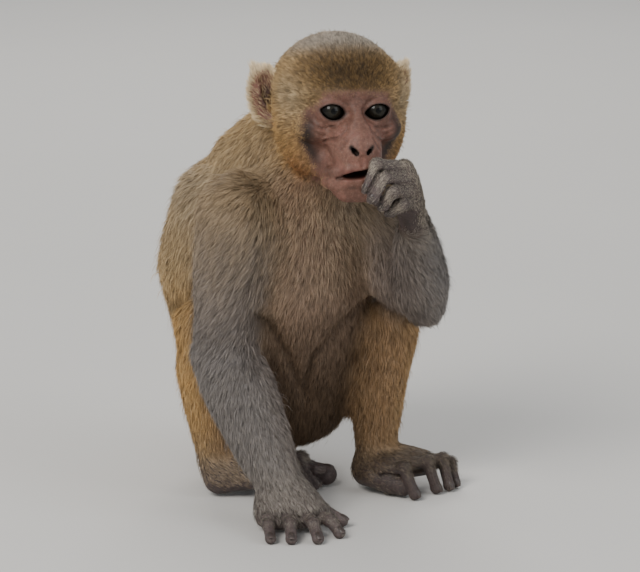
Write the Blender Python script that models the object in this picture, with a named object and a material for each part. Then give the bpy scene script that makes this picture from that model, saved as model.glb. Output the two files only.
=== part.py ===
"""A young rhesus macaque, squatting with its right hand flat on the ground and its left hand at the mouth.

Life size, in metres, +Z up. The trunk faces -Y and the animal's left side is at +X. Every node is the
outline of one part of the body out to the tips of its coat. The parts meet with a thin gap, and all that
touches the ground is cut flat at z = 0. Joint points and radii below are in millimetres.
"""

import math

import bmesh
import bpy
from mathutils import Matrix, Vector

MM = 0.001
JOINT_GAP = 0.6  # left between two parts that meet
FLAT_ENOUGH = 4.0  # degrees between faces that are made one
CUT_FACES_KEPT = 0.6  # share of the faces that a cut adds
STANCE_CENTRE = (10.23, 38.46)  # middle of the whole outline, moved to the origin

# Trunk: at each level from the rump to the shoulders, an ellipsoid at the back and one at the front,
# each as (centre, half widths along x, y, z)
TRUNK_LEVELS = (
    (((-3, 78, 74), (57, 53, 53)), ((8, 50, 68), (48, 42, 46))),
    (((-12, 77, 118), (61, 59, 50)), ((-6, 38, 112), (55, 55, 56))),
    (((-21, 69, 162), (67, 66, 56)), ((-18, 12, 165), (60, 58, 54))),
    (((-22, 52, 206), (65, 57, 51)), ((-24, -8, 213), (59, 42, 38))),
)
WITHERS = ((-19, 31, 239), (51, 45, 38))

# Head, in its own frame: forward, left and up from the middle of the skull
HEAD_CENTRE = (-11.7, -45.2, 298.8)
HEAD_YAW = -14.5  # degrees the face is turned to the animal's right
HEAD_PITCH = 0.0
HEAD_ROLL = 2.0
EYE_APART = 31.6
EYE_FORWARD = 38.0
EYE_UP = -0.5
EYE_RADIUS = 9.5
EAR_FORWARD = -12.0
EAR_SIDE = 46.5
EAR_UP = -1.0
EAR_TALL = 23.0
EAR_WIDE = 14.5
EAR_LEAN = 12.0  # degrees its tip leans outwards
EAR_SPLAY = {"left": 42, "right": 25}  # degrees the ear is folded back

# Limbs: joint centre and outer radius at each joint, from the body outwards
SHOULDER = {"left": (27, -8, 217), "right": (-71, -14, 217)}
ELBOW = {"left": (56, -50, 145), "right": (-77, 3, 117)}
WRIST = {"left": (15.3, -101.2, 220.1), "right": (-63.5, -50, 35)}
HIP = {"left": (27, 88, 60), "right": (-29, 86, 60)}
KNEE = {"left": (48, -8, 124), "right": (-66, 44, 128)}
ANKLE = {"left": (47.6, 2.5, 34), "right": (-61, 45, 34)}
SHOULDER_RADIUS = 33
UPPER_ARM_RADIUS = 27
TRICEPS_BEHIND = 6  # how far the mass behind the upper arm stands back
ELBOW_RADIUS = {"left": 17, "right": 25}
FOREARM_RADIUS = {"left": 21.5, "right": 27}
WRIST_RADIUS = {"left": 14, "right": 19}
HIP_RADIUS = {"left": 41, "right": 37}
THIGH_RADIUS = {"left": 37, "right": 32}
KNEE_RADIUS = 27
CALF_RADIUS = 22
CALF_BEHIND = 5
ANKLE_RADIUS = 17
CAP = 2.5  # how much fatter the outer part is than the inner one where they meet

# Hands and feet: knuckle, middle joint and tip of each finger from the thumb's side outwards
FINGERS = {
    "right": {
        "index": ((-43.6, -74, 11), (-42, -87, 10), (-40.9, -98, 4.2)),
        "middle": ((-54.4, -74, 12), (-57.5, -90, 11), (-60.7, -102.4, 4.2)),
        "ring": ((-65, -67.5, 11.5), (-71, -82, 10.5), (-77, -94, 4.2)),
        "little": ((-76, -57.7, 10), (-83, -72, 9), (-89, -86, 4.2)),
    },
    "left": {
        "index": ((-2.7, -118.5, 261), (-28.3, -126, 267), (-33.1, -122, 251)),
        "middle": ((1.3, -118.5, 252.5), (-24.2, -129.5, 258.3), (-31.1, -125.5, 244.6)),
        "ring": ((4.7, -117, 243.6), (-18.4, -130.2, 248.3), (-20.6, -122.1, 238.1)),
        "little": ((6.8, -114.8, 235.3), (-8.4, -126.8, 238.4), (-12.3, -117.6, 231.6)),
    },
}
THUMB = {
    "right": ((-50, -55, 22), (-36, -66, 12), (-26, -76, 5)),
    "left": ((5, -106, 232), (-10, -113, 236), (-23, -117.5, 241)),
}
FINGER_RADIUS = {"index": 5.3, "middle": 5.4, "ring": 5.2, "little": 4.8}
THUMB_RADIUS = 5.3
KNUCKLE_RADIUS = {"left": 8.0, "right": 10.5}

HEEL = {"left": (40, 2, 12), "right": (-63, 37, 12)}
TOES = {
    "left": {
        "toe_2": ((42.5, -26, 21), (48, -37, 23), (52.9, -44.4, 4.6)),
        "toe_3": ((58.5, -23, 21), (70, -33, 24), (74.7, -38.5, 4.6)),
        "toe_4": ((73, -19, 19), (86, -28, 22), (86.5, -37, 4.6)),
        "toe_5": ((84, -14, 16), (94, -26, 18), (95, -32, 4.4)),
    },
    "right": {
        "toe_2": ((-12, 33, 19), (0, 27, 22), (10, 20, 4.8)),
        "toe_3": ((-19, 26, 20), (-7, 21, 24), (3.5, 13.5, 4.8)),
        "toe_4": ((-27, 19, 19), (-15, 15, 22), (-5.3, 8.8, 4.6)),
        "toe_5": ((-36, 13, 16), (-26, 10, 18), (-17, 6.9, 4.4)),
    },
}
HALLUX = {
    "left": ((37, -13, 13), (44, -25, 10), (49.5, -33, 9)),
    "right": ((-8, 38, 14), (6, 29, 11), (17, 20, 9)),
}
TOE_RADIUS = 5.4
HALLUX_RADIUS = 9.2
BALL_RADIUS = 9.5

TAIL_PATH = (
    (-4, 118, 72),
    (0, 140, 56),
    (5, 158, 30),
    (16, 176, 12),
    (42, 192, 8.6),
    (74, 200, 7.4),
    (118, 206, 5.6),
)
TAIL_RADII = (14, 12, 10.5, 9.5, 9, 8, 6)

COLOURS = {
    "buff": (0.36, 0.26, 0.14),
    "grey": (0.26, 0.24, 0.22),
    "gold": (0.45, 0.27, 0.09),
    "skin": (0.45, 0.25, 0.20),
    "hand": (0.22, 0.18, 0.17),
    "eye": (0.03, 0.03, 0.025),
}


def clear_scene():
    for obj in list(bpy.data.objects):
        bpy.data.objects.remove(obj, do_unlink=True)


def material(colour):
    """One Principled material for each coat or skin colour, made once."""
    made = bpy.data.materials.get("coat_" + colour)
    if made:
        return made
    made = bpy.data.materials.new("coat_" + colour)
    made.use_nodes = True
    shader = made.node_tree.nodes["Principled BSDF"]
    shader.inputs["Base Color"].default_value = (*COLOURS[colour], 1)
    shader.inputs["Roughness"].default_value = 0.15 if colour == "eye" else 0.8
    shader.inputs["Metallic"].default_value = 0.0
    return made


def head_frame():
    """The head's own frame: x to its left, -y forward, z up."""
    turn = Matrix.Rotation(math.radians(HEAD_YAW), 4, "Z")
    tilt = Matrix.Rotation(math.radians(HEAD_PITCH), 4, "X")
    roll = Matrix.Rotation(math.radians(HEAD_ROLL), 4, "Y")
    return Matrix.Translation(HEAD_CENTRE) @ turn @ tilt @ roll


def in_head(forward, left, up):
    return head_frame() @ Vector((left, -forward, up))


# Shapes: each adds a closed shell, in millimetres, to a bmesh


def add_hull(mesh, blobs):
    """The skin stretched round a few balls or ellipsoids, each (centre, radius or half widths)."""
    shell = bmesh.new()
    for centre, size in blobs:
        half = (size, size, size) if isinstance(size, (int, float)) else size
        place = Matrix.Translation(Vector(centre)) @ Matrix.Diagonal((*half, 1))
        bmesh.ops.create_icosphere(shell, subdivisions=3, radius=1, matrix=place)
    bmesh.ops.delete(shell, geom=list(shell.faces), context="FACES_ONLY")
    made = bmesh.ops.convex_hull(shell, input=list(shell.verts))
    unused = [item for item in made["geom_interior"] if isinstance(item, bmesh.types.BMVert)]
    bmesh.ops.delete(shell, geom=unused, context="VERTS")
    bmesh.ops.recalc_face_normals(shell, faces=list(shell.faces))
    append(mesh, shell)


def add_limb(mesh, path, radii):
    """A run of balls joined two by two, each with its own radius."""
    for start, end, r_start, r_end in zip(path, path[1:], radii, radii[1:]):
        add_hull(mesh, [(start, r_start), (end, r_end)])


def add_egg(mesh, centre, half, frame=None):
    """An ellipsoid: half widths along the frame's axes."""
    shell = bmesh.new()
    place = (frame.to_3x3().to_4x4() if frame else Matrix()) @ Matrix.Diagonal((*half, 1))
    place = Matrix.Translation(centre) @ place
    bmesh.ops.create_icosphere(shell, subdivisions=4, radius=1, matrix=place)
    append(mesh, shell)


def append(mesh, shell):
    copy = bpy.data.meshes.new("shell")
    shell.to_mesh(copy)
    shell.free()
    mesh.from_mesh(copy)
    bpy.data.meshes.remove(copy)


def between(start, end, share):
    return Vector(start).lerp(Vector(end), share)


# From shells to a node


def new_object(name, mesh_data):
    obj = bpy.data.objects.new(name, mesh_data)
    bpy.context.scene.collection.objects.link(obj)
    return obj


def settled(obj):
    """Replaces an object's mesh with what its modifiers make of it."""
    graph = bpy.context.evaluated_depsgraph_get()
    made = bpy.data.meshes.new_from_object(obj.evaluated_get(graph))
    obj.modifiers.clear()
    old = obj.data
    obj.data = made
    bpy.data.meshes.remove(old)


def solid(name, colour, shells, voxel, smooths, triangles):
    """Joins the shells into one smooth closed body with about so many triangles."""
    data = bpy.data.meshes.new(name)
    shells.transform(Matrix.Scale(MM, 4))
    shells.to_mesh(data)
    shells.free()
    obj = new_object(name, data)
    remesh = obj.modifiers.new("Remesh", "REMESH")
    remesh.mode = "VOXEL"
    remesh.voxel_size = voxel * MM
    smooth = obj.modifiers.new("Smooth", "SMOOTH")
    smooth.factor = 0.5
    smooth.iterations = smooths
    settled(obj)
    faces = sum(len(face.vertices) - 2 for face in obj.data.polygons)
    fewer = obj.modifiers.new("Decimate", "DECIMATE")
    fewer.ratio = min(1.0, triangles / faces)
    fewer.use_collapse_triangulate = True
    settled(obj)
    obj.data.materials.clear()
    obj.data.materials.append(material(colour))
    return obj


def boxes_meet(first, second):
    a = [first.matrix_world @ Vector(corner) for corner in first.bound_box]
    b = [second.matrix_world @ Vector(corner) for corner in second.bound_box]
    reach = JOINT_GAP * MM * 2
    return all(
        min(p[axis] for p in a) < max(p[axis] for p in b) + reach
        and min(p[axis] for p in b) < max(p[axis] for p in a) + reach
        for axis in range(3)
    )


def volume_if_closed(data):
    """The mesh's volume, or zero where it has an open edge."""
    shell = bmesh.new()
    shell.from_mesh(data)
    whole = shell.faces and all(edge.is_manifold for edge in shell.edges)
    volume = shell.calc_volume(signed=True) if whole else 0.0
    shell.free()
    return volume


def cut(obj, cutter):
    """Takes the cutter out of the body; the second solver is for where the first leaves an open mesh."""
    before = obj.data
    full = volume_if_closed(before)
    for solver in ("EXACT", "MANIFOLD"):
        boolean = obj.modifiers.new("Cut", "BOOLEAN")
        boolean.operation = "DIFFERENCE"
        boolean.solver = solver
        boolean.object = cutter
        graph = bpy.context.evaluated_depsgraph_get()
        made = bpy.data.meshes.new_from_object(obj.evaluated_get(graph))
        obj.modifiers.clear()
        if 0 < volume_if_closed(made) <= full * 1.0001:
            obj.data = made
            bpy.data.meshes.remove(before)
            return
        bpy.data.meshes.remove(made)
    raise RuntimeError(f"{cutter.name} leaves {obj.name} open")


def swollen_copy(obj):
    """The same body, a joint gap fatter, to cut its neighbours with."""
    copy = new_object("cutter", obj.data.copy())
    copy.hide_render = True
    copy.display_type = "WIRE"
    swell = copy.modifiers.new("Swell", "DISPLACE")
    swell.strength = JOINT_GAP * MM
    swell.mid_level = 0.0
    settled(copy)
    return copy


def thin_out(body, uncut):
    """Drops most of the small faces that the cuts have left along their edges."""
    keep_largest_piece(body)
    faces = len(body.data.polygons)
    before = body.data.copy()
    fewer = body.modifiers.new("Decimate", "DECIMATE")
    fewer.ratio = min(1.0, (uncut + (faces - uncut) * CUT_FACES_KEPT) / faces)
    settled(body)
    if volume_if_closed(body.data) > 0:
        bpy.data.meshes.remove(before)
    else:
        body.data = before


def part_bodies(bodies):
    """Cuts each body clear of all the bodies that come before it in the list."""
    cutters = [swollen_copy(body) for body in bodies]
    for index, body in enumerate(bodies):
        uncut = len(body.data.polygons)
        for cutter in cutters[:index]:
            if boxes_meet(body, cutter):
                cut(body, cutter)
        thin_out(body, uncut)
    for cutter in cutters:
        bpy.data.objects.remove(cutter, do_unlink=True)


def keep_largest_piece(obj):
    shell = bmesh.new()
    shell.from_mesh(obj.data)
    bmesh.ops.triangulate(shell, faces=list(shell.faces))
    bmesh.ops.remove_doubles(shell, verts=list(shell.verts), dist=0.002 * MM)
    left = set(shell.verts)
    pieces = []
    while left:
        piece, edge = set(), [left.pop()]
        while edge:
            vert = edge.pop()
            piece.add(vert)
            for link in vert.link_edges:
                other = link.other_vert(vert)
                if other in left:
                    left.discard(other)
                    edge.append(other)
        pieces.append(piece)
    keep = max(pieces, key=len)
    bmesh.ops.delete(shell, geom=[v for v in shell.verts if v not in keep], context="VERTS")
    bmesh.ops.dissolve_limit(
        shell, angle_limit=math.radians(FLAT_ENOUGH), verts=list(shell.verts), edges=list(shell.edges)
    )
    bmesh.ops.triangulate(shell, faces=list(shell.faces))
    shell.to_mesh(obj.data)
    shell.free()


def box_cutter(name, centre, half):
    shell = bmesh.new()
    place = Matrix.Translation(Vector(centre) * MM) @ Matrix.Diagonal((*(Vector(half) * MM * 2), 1))
    bmesh.ops.create_cube(shell, size=1, matrix=place)
    data = bpy.data.meshes.new(name)
    shell.to_mesh(data)
    shell.free()
    obj = new_object(name, data)
    obj.hide_render = True
    obj.display_type = "WIRE"
    return obj


def egg_cutter(name, centre, half, frame):
    shells = bmesh.new()
    add_egg(shells, centre, half, frame)
    bmesh.ops.scale(shells, vec=(MM, MM, MM), verts=list(shells.verts))
    data = bpy.data.meshes.new(name)
    shells.to_mesh(data)
    shells.free()
    obj = new_object(name, data)
    obj.hide_render = True
    obj.display_type = "WIRE"
    fewer = obj.modifiers.new("Decimate", "DECIMATE")
    fewer.ratio = 0.03
    settled(obj)
    return obj


# The parts of the body


def head():
    shells = bmesh.new()
    frame = head_frame()
    add_egg(shells, in_head(-5, 0, 1), (46, 56, 45), frame)
    add_egg(shells, in_head(23, 0, 10), (40, 25, 25), frame)
    add_hull(shells, [(in_head(35, 0, -14), 21), (in_head(55, 0, -28), 17.5)])
    add_hull(shells, [(in_head(42, 0, 2), 6), (in_head(62, 0, -20), 7.5)])
    add_hull(shells, [(in_head(20, 0, -37), 23), (in_head(50, 0, -48), 15)])
    for side in (-1, 1):
        cheek = (in_head(11, 29 * side, -20), (21, 27, 27))
        add_hull(shells, [cheek, (in_head(8, 26 * side, 14), 20)])
        add_egg(shells, in_head(16, 22 * side, -36), (18, 24, 20), frame)
        add_egg(shells, in_head(31, 24 * side, -15), (13, 13, 11), frame)
        add_hull(shells, [(in_head(42, 6 * side, 12), 7.5), (in_head(36, 26 * side, 11), 8.5)])
    made = solid("head", "buff", shells, 2.2, 6, 930)
    for side, turn in (("left", 1), ("right", -1)):
        hollows = {
            "nostril_": ((69.5, 5.0 * turn, -23.5), (2.6, 4.5, 1.9)),
            "orbit_": ((50.5, EYE_APART / 2 * turn, EYE_UP), (10.5, 7.5, 7.5)),
        }
        for name, (place, half) in hollows.items():
            hollow = egg_cutter(name + side, in_head(*place), half, frame)
            cut(made, hollow)
            bpy.data.objects.remove(hollow, do_unlink=True)
    mouth = egg_cutter("mouth", in_head(71, 4, -40.5), (13, 12, 2.0), frame)
    cut(made, mouth)
    bpy.data.objects.remove(mouth, do_unlink=True)
    return made


def eye(side, turn):
    shells = bmesh.new()
    centre = in_head(EYE_FORWARD, turn * EYE_APART / 2, EYE_UP)
    bmesh.ops.create_icosphere(shells, subdivisions=2, radius=EYE_RADIUS, matrix=Matrix.Translation(centre))
    shells.transform(Matrix.Scale(MM, 4))
    data = bpy.data.meshes.new("eye_" + side)
    shells.to_mesh(data)
    shells.free()
    data.shade_smooth()
    data.materials.append(material("eye"))
    return new_object("eye_" + side, data)


def ear(side, turn):
    """A flat leaf that stands out backwards, hollowed in front."""
    splay = Matrix.Rotation(math.radians(EAR_SPLAY[side] * turn), 4, "Z")
    lean = Matrix.Rotation(math.radians(EAR_LEAN * turn), 4, "Y")
    frame = head_frame() @ lean @ splay
    middle = in_head(EAR_FORWARD, EAR_SIDE * turn, EAR_UP)
    shells = bmesh.new()
    add_egg(shells, middle, (EAR_WIDE, 5.5, EAR_TALL), frame)
    made = solid("ear_" + side, "skin", shells, 1.6, 2, 120)
    hollow_centre = middle + frame.to_3x3() @ Vector((1.5 * turn, -5.5, 0))
    hollow = egg_cutter("hollow_" + side, hollow_centre, (EAR_WIDE * 0.72, 6.0, EAR_TALL * 0.74), frame)
    cut(made, hollow)
    bpy.data.objects.remove(hollow, do_unlink=True)
    return made


def neck():
    shells = bmesh.new()
    add_hull(shells, [WITHERS, ((-14, -8, 268), 40)])
    add_hull(shells, [((-22, -20, 238), 36), ((-24, -48, 256), 20)])
    return solid("neck", "buff", shells, 3.4, 10, 190)


def trunk():
    shells = bmesh.new()
    for lower, upper in zip(TRUNK_LEVELS, TRUNK_LEVELS[1:]):
        add_hull(shells, [*lower, *upper])
    add_hull(shells, [(SHOULDER["left"], 30), (SHOULDER["right"], 30)])
    return solid("trunk", "grey", shells, 3.8, 14, 600)


def tail():
    shells = bmesh.new()
    add_limb(shells, TAIL_PATH, TAIL_RADII)
    return solid("tail", "gold", shells, 2.2, 4, 170)


def upper_arm(side):
    """Shoulder cap, the mass behind the arm, and the taper to the elbow."""
    shells = bmesh.new()
    start, end = SHOULDER[side], ELBOW[side]
    path = (start, between(start, end, 0.35), between(start, end, 0.7), end)
    elbow = ELBOW_RADIUS[side] - CAP
    add_limb(shells, path, (SHOULDER_RADIUS, UPPER_ARM_RADIUS + 3, UPPER_ARM_RADIUS, elbow))
    behind = [Vector(point) + Vector((0, TRICEPS_BEHIND, 0)) for point in path[1:3]]
    add_limb(shells, behind, (UPPER_ARM_RADIUS - 1, UPPER_ARM_RADIUS - 3))
    return solid("upper_arm_" + side, "grey", shells, 3.0, 6, 140)


def forearm(side):
    """Fullest a third of the way down, then tapering to the wrist."""
    shells = bmesh.new()
    start, end = ELBOW[side], WRIST[side]
    full, wrist = FOREARM_RADIUS[side], WRIST_RADIUS[side]
    path = (start, between(start, end, 0.3), between(start, end, 0.7), end)
    add_limb(shells, path, (ELBOW_RADIUS[side], full, (full + wrist) / 2, wrist))
    return solid("forearm_" + side, "grey", shells, 2.6, 6, 160)


def hand(side):
    shells = bmesh.new()
    knuckles = [joints[0] for joints in FINGERS[side].values()]
    thick = KNUCKLE_RADIUS[side]
    for first, second in zip(knuckles, knuckles[1:]):
        add_hull(shells, [(WRIST[side], WRIST_RADIUS[side] - 3), (first, thick), (second, thick)])
    add_hull(shells, [(WRIST[side], 11), (THUMB[side][0], 9), (knuckles[0], 8)])
    return solid("hand_" + side, "hand", shells, 1.8, 5, 150)


def digit(name, joints, radii, triangles=62):
    """A finger or toe, from just outside the knuckle."""
    shells = bmesh.new()
    outside = between(joints[0], joints[1], 0.35)
    add_limb(shells, (outside, *joints[1:]), radii)
    return solid(name, "hand", shells, 1.2, 2, triangles)


def fingers(side):
    made = []
    for name, joints in FINGERS[side].items():
        thick = FINGER_RADIUS[name]
        made.append(digit("finger_" + name + "_" + side, joints, (thick + 0.6, thick, thick - 0.4)))
    thick = THUMB_RADIUS
    made.append(digit("thumb_" + side, THUMB[side], (thick + 1.0, thick, thick - 0.4)))
    return made


def toes(side):
    made = []
    for name, joints in TOES[side].items():
        radii = (TOE_RADIUS + 0.6, TOE_RADIUS, TOE_RADIUS - 0.8)
        made.append(digit(name + "_" + side, joints, radii))
    thick = HALLUX_RADIUS
    made.append(digit("hallux_" + side, HALLUX[side], (thick, thick, thick), 84))
    return made


def foot(side):
    """Heel, sole and instep, from the ankle to the balls of the toes."""
    shells = bmesh.new()
    balls = [joints[0] for joints in TOES[side].values()]
    ankle = Vector(ANKLE[side])
    instep = (ankle - Vector((0, 0, 10)), 13)
    for first, second in zip(balls, balls[1:]):
        add_hull(shells, [(HEEL[side], 11), instep, (first, BALL_RADIUS), (second, BALL_RADIUS)])
    add_hull(shells, [(HEEL[side], 12.5), (ankle - Vector((0, 0, 6)), 15)])
    add_hull(shells, [(HEEL[side], 11), (HALLUX[side][0], 11), (balls[0], BALL_RADIUS)])
    return solid("foot_" + side, "hand", shells, 2.0, 5, 160)


def thigh(side):
    """Broad and deep at the rump, rounded at the knee."""
    shells = bmesh.new()
    start, end = HIP[side], KNEE[side]
    wide, full = HIP_RADIUS[side], THIGH_RADIUS[side]
    middle = between(start, end, 0.5)
    add_hull(shells, [(start, (wide - 4, wide, wide)), (middle, (full - 3, full, full))])
    add_hull(shells, [(middle, (full - 3, full, full)), (end, KNEE_RADIUS - CAP)])
    return solid("thigh_" + side, "gold", shells, 3.2, 6, 170)


def shin(side):
    """A calf that stands out behind, and the taper to the ankle."""
    shells = bmesh.new()
    start, end = Vector(KNEE[side]), Vector(ANKLE[side])
    behind = (Vector(HEEL[side]) - Vector(TOES[side]["toe_3"][0])).normalized()
    behind.z = 0
    calf = between(start, end, 0.35) + behind * CALF_BEHIND
    path = (start, between(start, end, 0.4), end)
    add_limb(shells, path, (KNEE_RADIUS, CALF_RADIUS, ANKLE_RADIUS))
    add_hull(shells, [(start, KNEE_RADIUS - 4), (calf, CALF_RADIUS)])
    add_hull(shells, [(calf, CALF_RADIUS), (end, ANKLE_RADIUS)])
    return solid("shin_" + side, "gold", shells, 2.6, 6, 130)


def flatten_on_ground(bodies):
    """Cuts off what the ground presses flat."""
    ground = box_cutter("ground", (0, 0, -50), (400, 400, 50))
    for body in bodies:
        if min((body.matrix_world @ Vector(corner)).z for corner in body.bound_box) < 0:
            cut(body, ground)
    bpy.data.objects.remove(ground, do_unlink=True)


def main():
    clear_scene()
    sides = ("left", "right")
    bodies = [eye("left", 1), eye("right", -1), ear("left", 1), ear("right", -1), head()]
    for side in sides:
        bodies += fingers(side)
    bodies += [hand(side) for side in sides]
    for side in sides:
        bodies += toes(side)
    bodies += [foot(side) for side in sides]
    bodies += [forearm(side) for side in sides]
    bodies += [upper_arm(side) for side in sides]
    bodies += [shin(side) for side in sides]
    bodies += [thigh(side) for side in sides]
    bodies += [neck(), tail(), trunk()]
    part_bodies(bodies)
    flatten_on_ground(bodies)
    shift = Matrix.Translation((-STANCE_CENTRE[0] * MM, -STANCE_CENTRE[1] * MM, 0))
    for body in bodies:
        keep_largest_piece(body)
        body.data.transform(shift)


main()
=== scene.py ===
"""Young rhesus macaque, squatting: skin, eyes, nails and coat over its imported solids, with a plain stage.

The skin is one surface. It comes from a distance field in millimetres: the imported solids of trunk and
limbs, drawn in by the depth of the coat, joined with the forms of the head, ears, fingers and toes. Every
hair is a thin bent blade that grows from the skin, and skin and hair carry the same markings.
"""

import math

import bpy
import numpy as np
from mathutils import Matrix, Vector
from mathutils.bvhtree import BVHTree
from mathutils.kdtree import KDTree


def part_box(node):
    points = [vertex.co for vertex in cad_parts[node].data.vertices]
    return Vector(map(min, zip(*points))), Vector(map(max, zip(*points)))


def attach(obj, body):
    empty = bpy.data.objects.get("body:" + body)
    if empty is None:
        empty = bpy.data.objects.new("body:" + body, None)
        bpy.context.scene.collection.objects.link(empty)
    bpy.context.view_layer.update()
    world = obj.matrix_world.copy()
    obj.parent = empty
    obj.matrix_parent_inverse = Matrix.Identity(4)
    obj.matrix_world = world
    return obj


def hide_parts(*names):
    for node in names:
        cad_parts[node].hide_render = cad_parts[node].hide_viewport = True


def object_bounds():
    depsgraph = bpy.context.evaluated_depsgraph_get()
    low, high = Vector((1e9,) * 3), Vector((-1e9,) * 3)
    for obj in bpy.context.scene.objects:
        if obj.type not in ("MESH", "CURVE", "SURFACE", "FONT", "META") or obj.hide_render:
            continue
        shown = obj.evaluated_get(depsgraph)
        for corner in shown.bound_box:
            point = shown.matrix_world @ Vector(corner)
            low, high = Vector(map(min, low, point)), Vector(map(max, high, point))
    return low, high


bl_info = {
    "name": "Rhesus macaque figure",
    "version": (1, 0, 0),
    "blender": (4, 5, 0),
    "location": "View3D > Sidebar > Macaque",
    "description": "Skin, eyes, nails and coat of a squatting rhesus macaque over its packed solids",
    "category": "Object",
}

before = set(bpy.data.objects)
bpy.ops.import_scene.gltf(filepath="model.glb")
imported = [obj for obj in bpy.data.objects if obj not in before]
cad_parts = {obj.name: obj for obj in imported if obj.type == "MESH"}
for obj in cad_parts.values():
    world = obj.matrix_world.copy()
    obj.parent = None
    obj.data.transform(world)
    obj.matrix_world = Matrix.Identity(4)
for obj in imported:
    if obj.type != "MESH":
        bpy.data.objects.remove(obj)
CAD_BOX = [list(corner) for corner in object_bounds()]

MM = 0.001
SEED = 11
STANCE_CENTRE = np.array((10.23, 38.46, 0.0))  # the plan's origin, seen from the middle of the figure
SIDES = ("left", "right")
TOWARDS = {"left": 1.0, "right": -1.0}
FINGERS = [f"finger_{name}" for name in ("index", "middle", "ring", "little")]
TOES = [f"toe_{number}" for number in (2, 3, 4, 5)]


def each_side(*names):
    """Names with a side, those of the left first."""
    return [f"{name}_{side}" for side in SIDES for name in names]


DIGITS = each_side(*FINGERS) + each_side("thumb") + each_side(*TOES) + each_side("hallux")
MASSES = ["trunk", "neck", "tail"] + each_side("upper_arm", "forearm", "hand", "thigh", "shin", "foot")
FLESH = MASSES + ["head"] + each_side("ear") + DIGITS

# Root joint, middle joint and tip of each digit, in the plan's millimetres, as the solids have them
DIGIT_JOINTS = {
    "finger_index_right": ((-43.6, -74, 11), (-42, -87, 10), (-40.9, -98, 4.2)),
    "finger_middle_right": ((-54.4, -74, 12), (-57.5, -90, 11), (-60.7, -102.4, 4.2)),
    "finger_ring_right": ((-65, -67.5, 11.5), (-71, -82, 10.5), (-77, -94, 4.2)),
    "finger_little_right": ((-76, -57.7, 10), (-83, -72, 9), (-89, -86, 4.2)),
    "finger_index_left": ((-2.7, -118.5, 261), (-28.3, -126, 267), (-33.1, -122, 251)),
    "finger_middle_left": ((1.3, -118.5, 252.5), (-24.2, -129.5, 258.3), (-31.1, -125.5, 244.6)),
    "finger_ring_left": ((4.7, -117, 243.6), (-18.4, -130.2, 248.3), (-20.6, -122.1, 238.1)),
    "finger_little_left": ((6.8, -114.8, 235.3), (-8.4, -126.8, 238.4), (-12.3, -117.6, 231.6)),
    "thumb_right": ((-50, -55, 22), (-36, -66, 12), (-26, -76, 5)),
    "thumb_left": ((5, -106, 232), (-10, -113, 236), (-23, -117.5, 241)),
    "toe_2_left": ((42.5, -26, 21), (48, -37, 23), (52.9, -44.4, 4.6)),
    "toe_3_left": ((58.5, -23, 21), (70, -33, 24), (74.7, -38.5, 4.6)),
    "toe_4_left": ((73, -19, 19), (86, -28, 22), (86.5, -37, 4.6)),
    "toe_5_left": ((84, -14, 16), (94, -26, 18), (95, -32, 4.4)),
    "toe_2_right": ((-12, 33, 19), (0, 27, 22), (10, 20, 4.8)),
    "toe_3_right": ((-19, 26, 20), (-7, 21, 24), (3.5, 13.5, 4.8)),
    "toe_4_right": ((-27, 19, 19), (-15, 15, 22), (-5.3, 8.8, 4.6)),
    "toe_5_right": ((-36, 13, 16), (-26, 10, 18), (-17, 6.9, 4.4)),
    "hallux_left": ((37, -13, 13), (44, -25, 10), (49.5, -33, 9)),
    "hallux_right": ((-8, 38, 14), (6, 29, 11), (17, 20, 9)),
}
DIGIT_RADIUS = {"finger": 4.6, "thumb": 4.7, "toe": 4.6, "hallux": 8.4}
NAIL = {"finger": (2.5, 4.6), "thumb": (2.6, 4.6), "toe": (2.3, 4.2), "hallux": (3.6, 5.0)}

# For each kind of part: depth of the coat, length of its hair, hairs to the square millimetre,
# width of a hair tuft, and how far it stands up (sine of the angle)
COAT = {
    "trunk": (6.5, 12.5, 2.04, 0.38, 0.40),
    "neck": (6.0, 11.0, 2.50, 0.40, 0.38),
    "head": (5.0, 7.5, 3.86, 0.30, 0.44),
    "ear": (0.8, 5.0, 3.60, 0.26, 0.42),
    "upper_arm": (5.0, 11.5, 2.35, 0.35, 0.36),
    "forearm": (4.2, 9.5, 2.55, 0.33, 0.34),
    "hand": (1.2, 4.8, 3.00, 0.24, 0.20),
    "finger": (0.4, 2.8, 3.40, 0.17, 0.20),
    "thumb": (0.4, 2.6, 2.40, 0.17, 0.20),
    "thigh": (5.2, 11.5, 2.30, 0.38, 0.38),
    "shin": (4.2, 9.5, 2.60, 0.36, 0.36),
    "foot": (1.2, 4.5, 2.40, 0.24, 0.18),
    "toe": (0.5, 3.6, 2.80, 0.18, 0.30),
    "hallux": (0.4, 3.0, 0.40, 0.24, 0.22),
    "tail": (3.2, 9.0, 2.20, 0.42, 0.36),
}


def kind(part):
    """The kind of a part: its name without side and number."""
    for name in COAT:
        if part.startswith(name):
            return name
    raise ValueError(part)


def of_kinds(*kinds):
    return tuple(name for name in FLESH if kind(name) in kinds)


KINDS = np.array([kind(name) for name in FLESH])
# 1 on the left, -1 on the right, 0 in the middle
SIGNS = np.array([TOWARDS.get(name.split("_")[-1], 0.0) for name in FLESH])


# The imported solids, read in millimetres


def read_array(items, name, number=np.float32):
    """Three numbers for each of Blender's items."""
    values = np.empty(len(items) * 3, number)
    items.foreach_get(name, values)
    return values.reshape(-1, 3)


def node_mesh(name):
    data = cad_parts[name].data
    data.calc_loop_triangles()
    places = read_array(data.vertices, "co").astype(float) / MM
    return places, read_array(data.loop_triangles, "vertices", np.int32)


def joined_mesh(names):
    """The nodes' meshes as one, and for each face the place of its node in the list."""
    places, faces, owners, count = [], [], [], 0
    for index, name in enumerate(names):
        node_places, node_faces = node_mesh(name)
        places.append(node_places)
        faces.append(node_faces + count)
        owners.append(np.full(len(node_faces), index))
        count += len(node_places)
    return np.concatenate(places), np.concatenate(faces), np.concatenate(owners)


def tree_of(places, faces):
    return BVHTree.FromPolygons(places.tolist(), faces.tolist())


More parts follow.
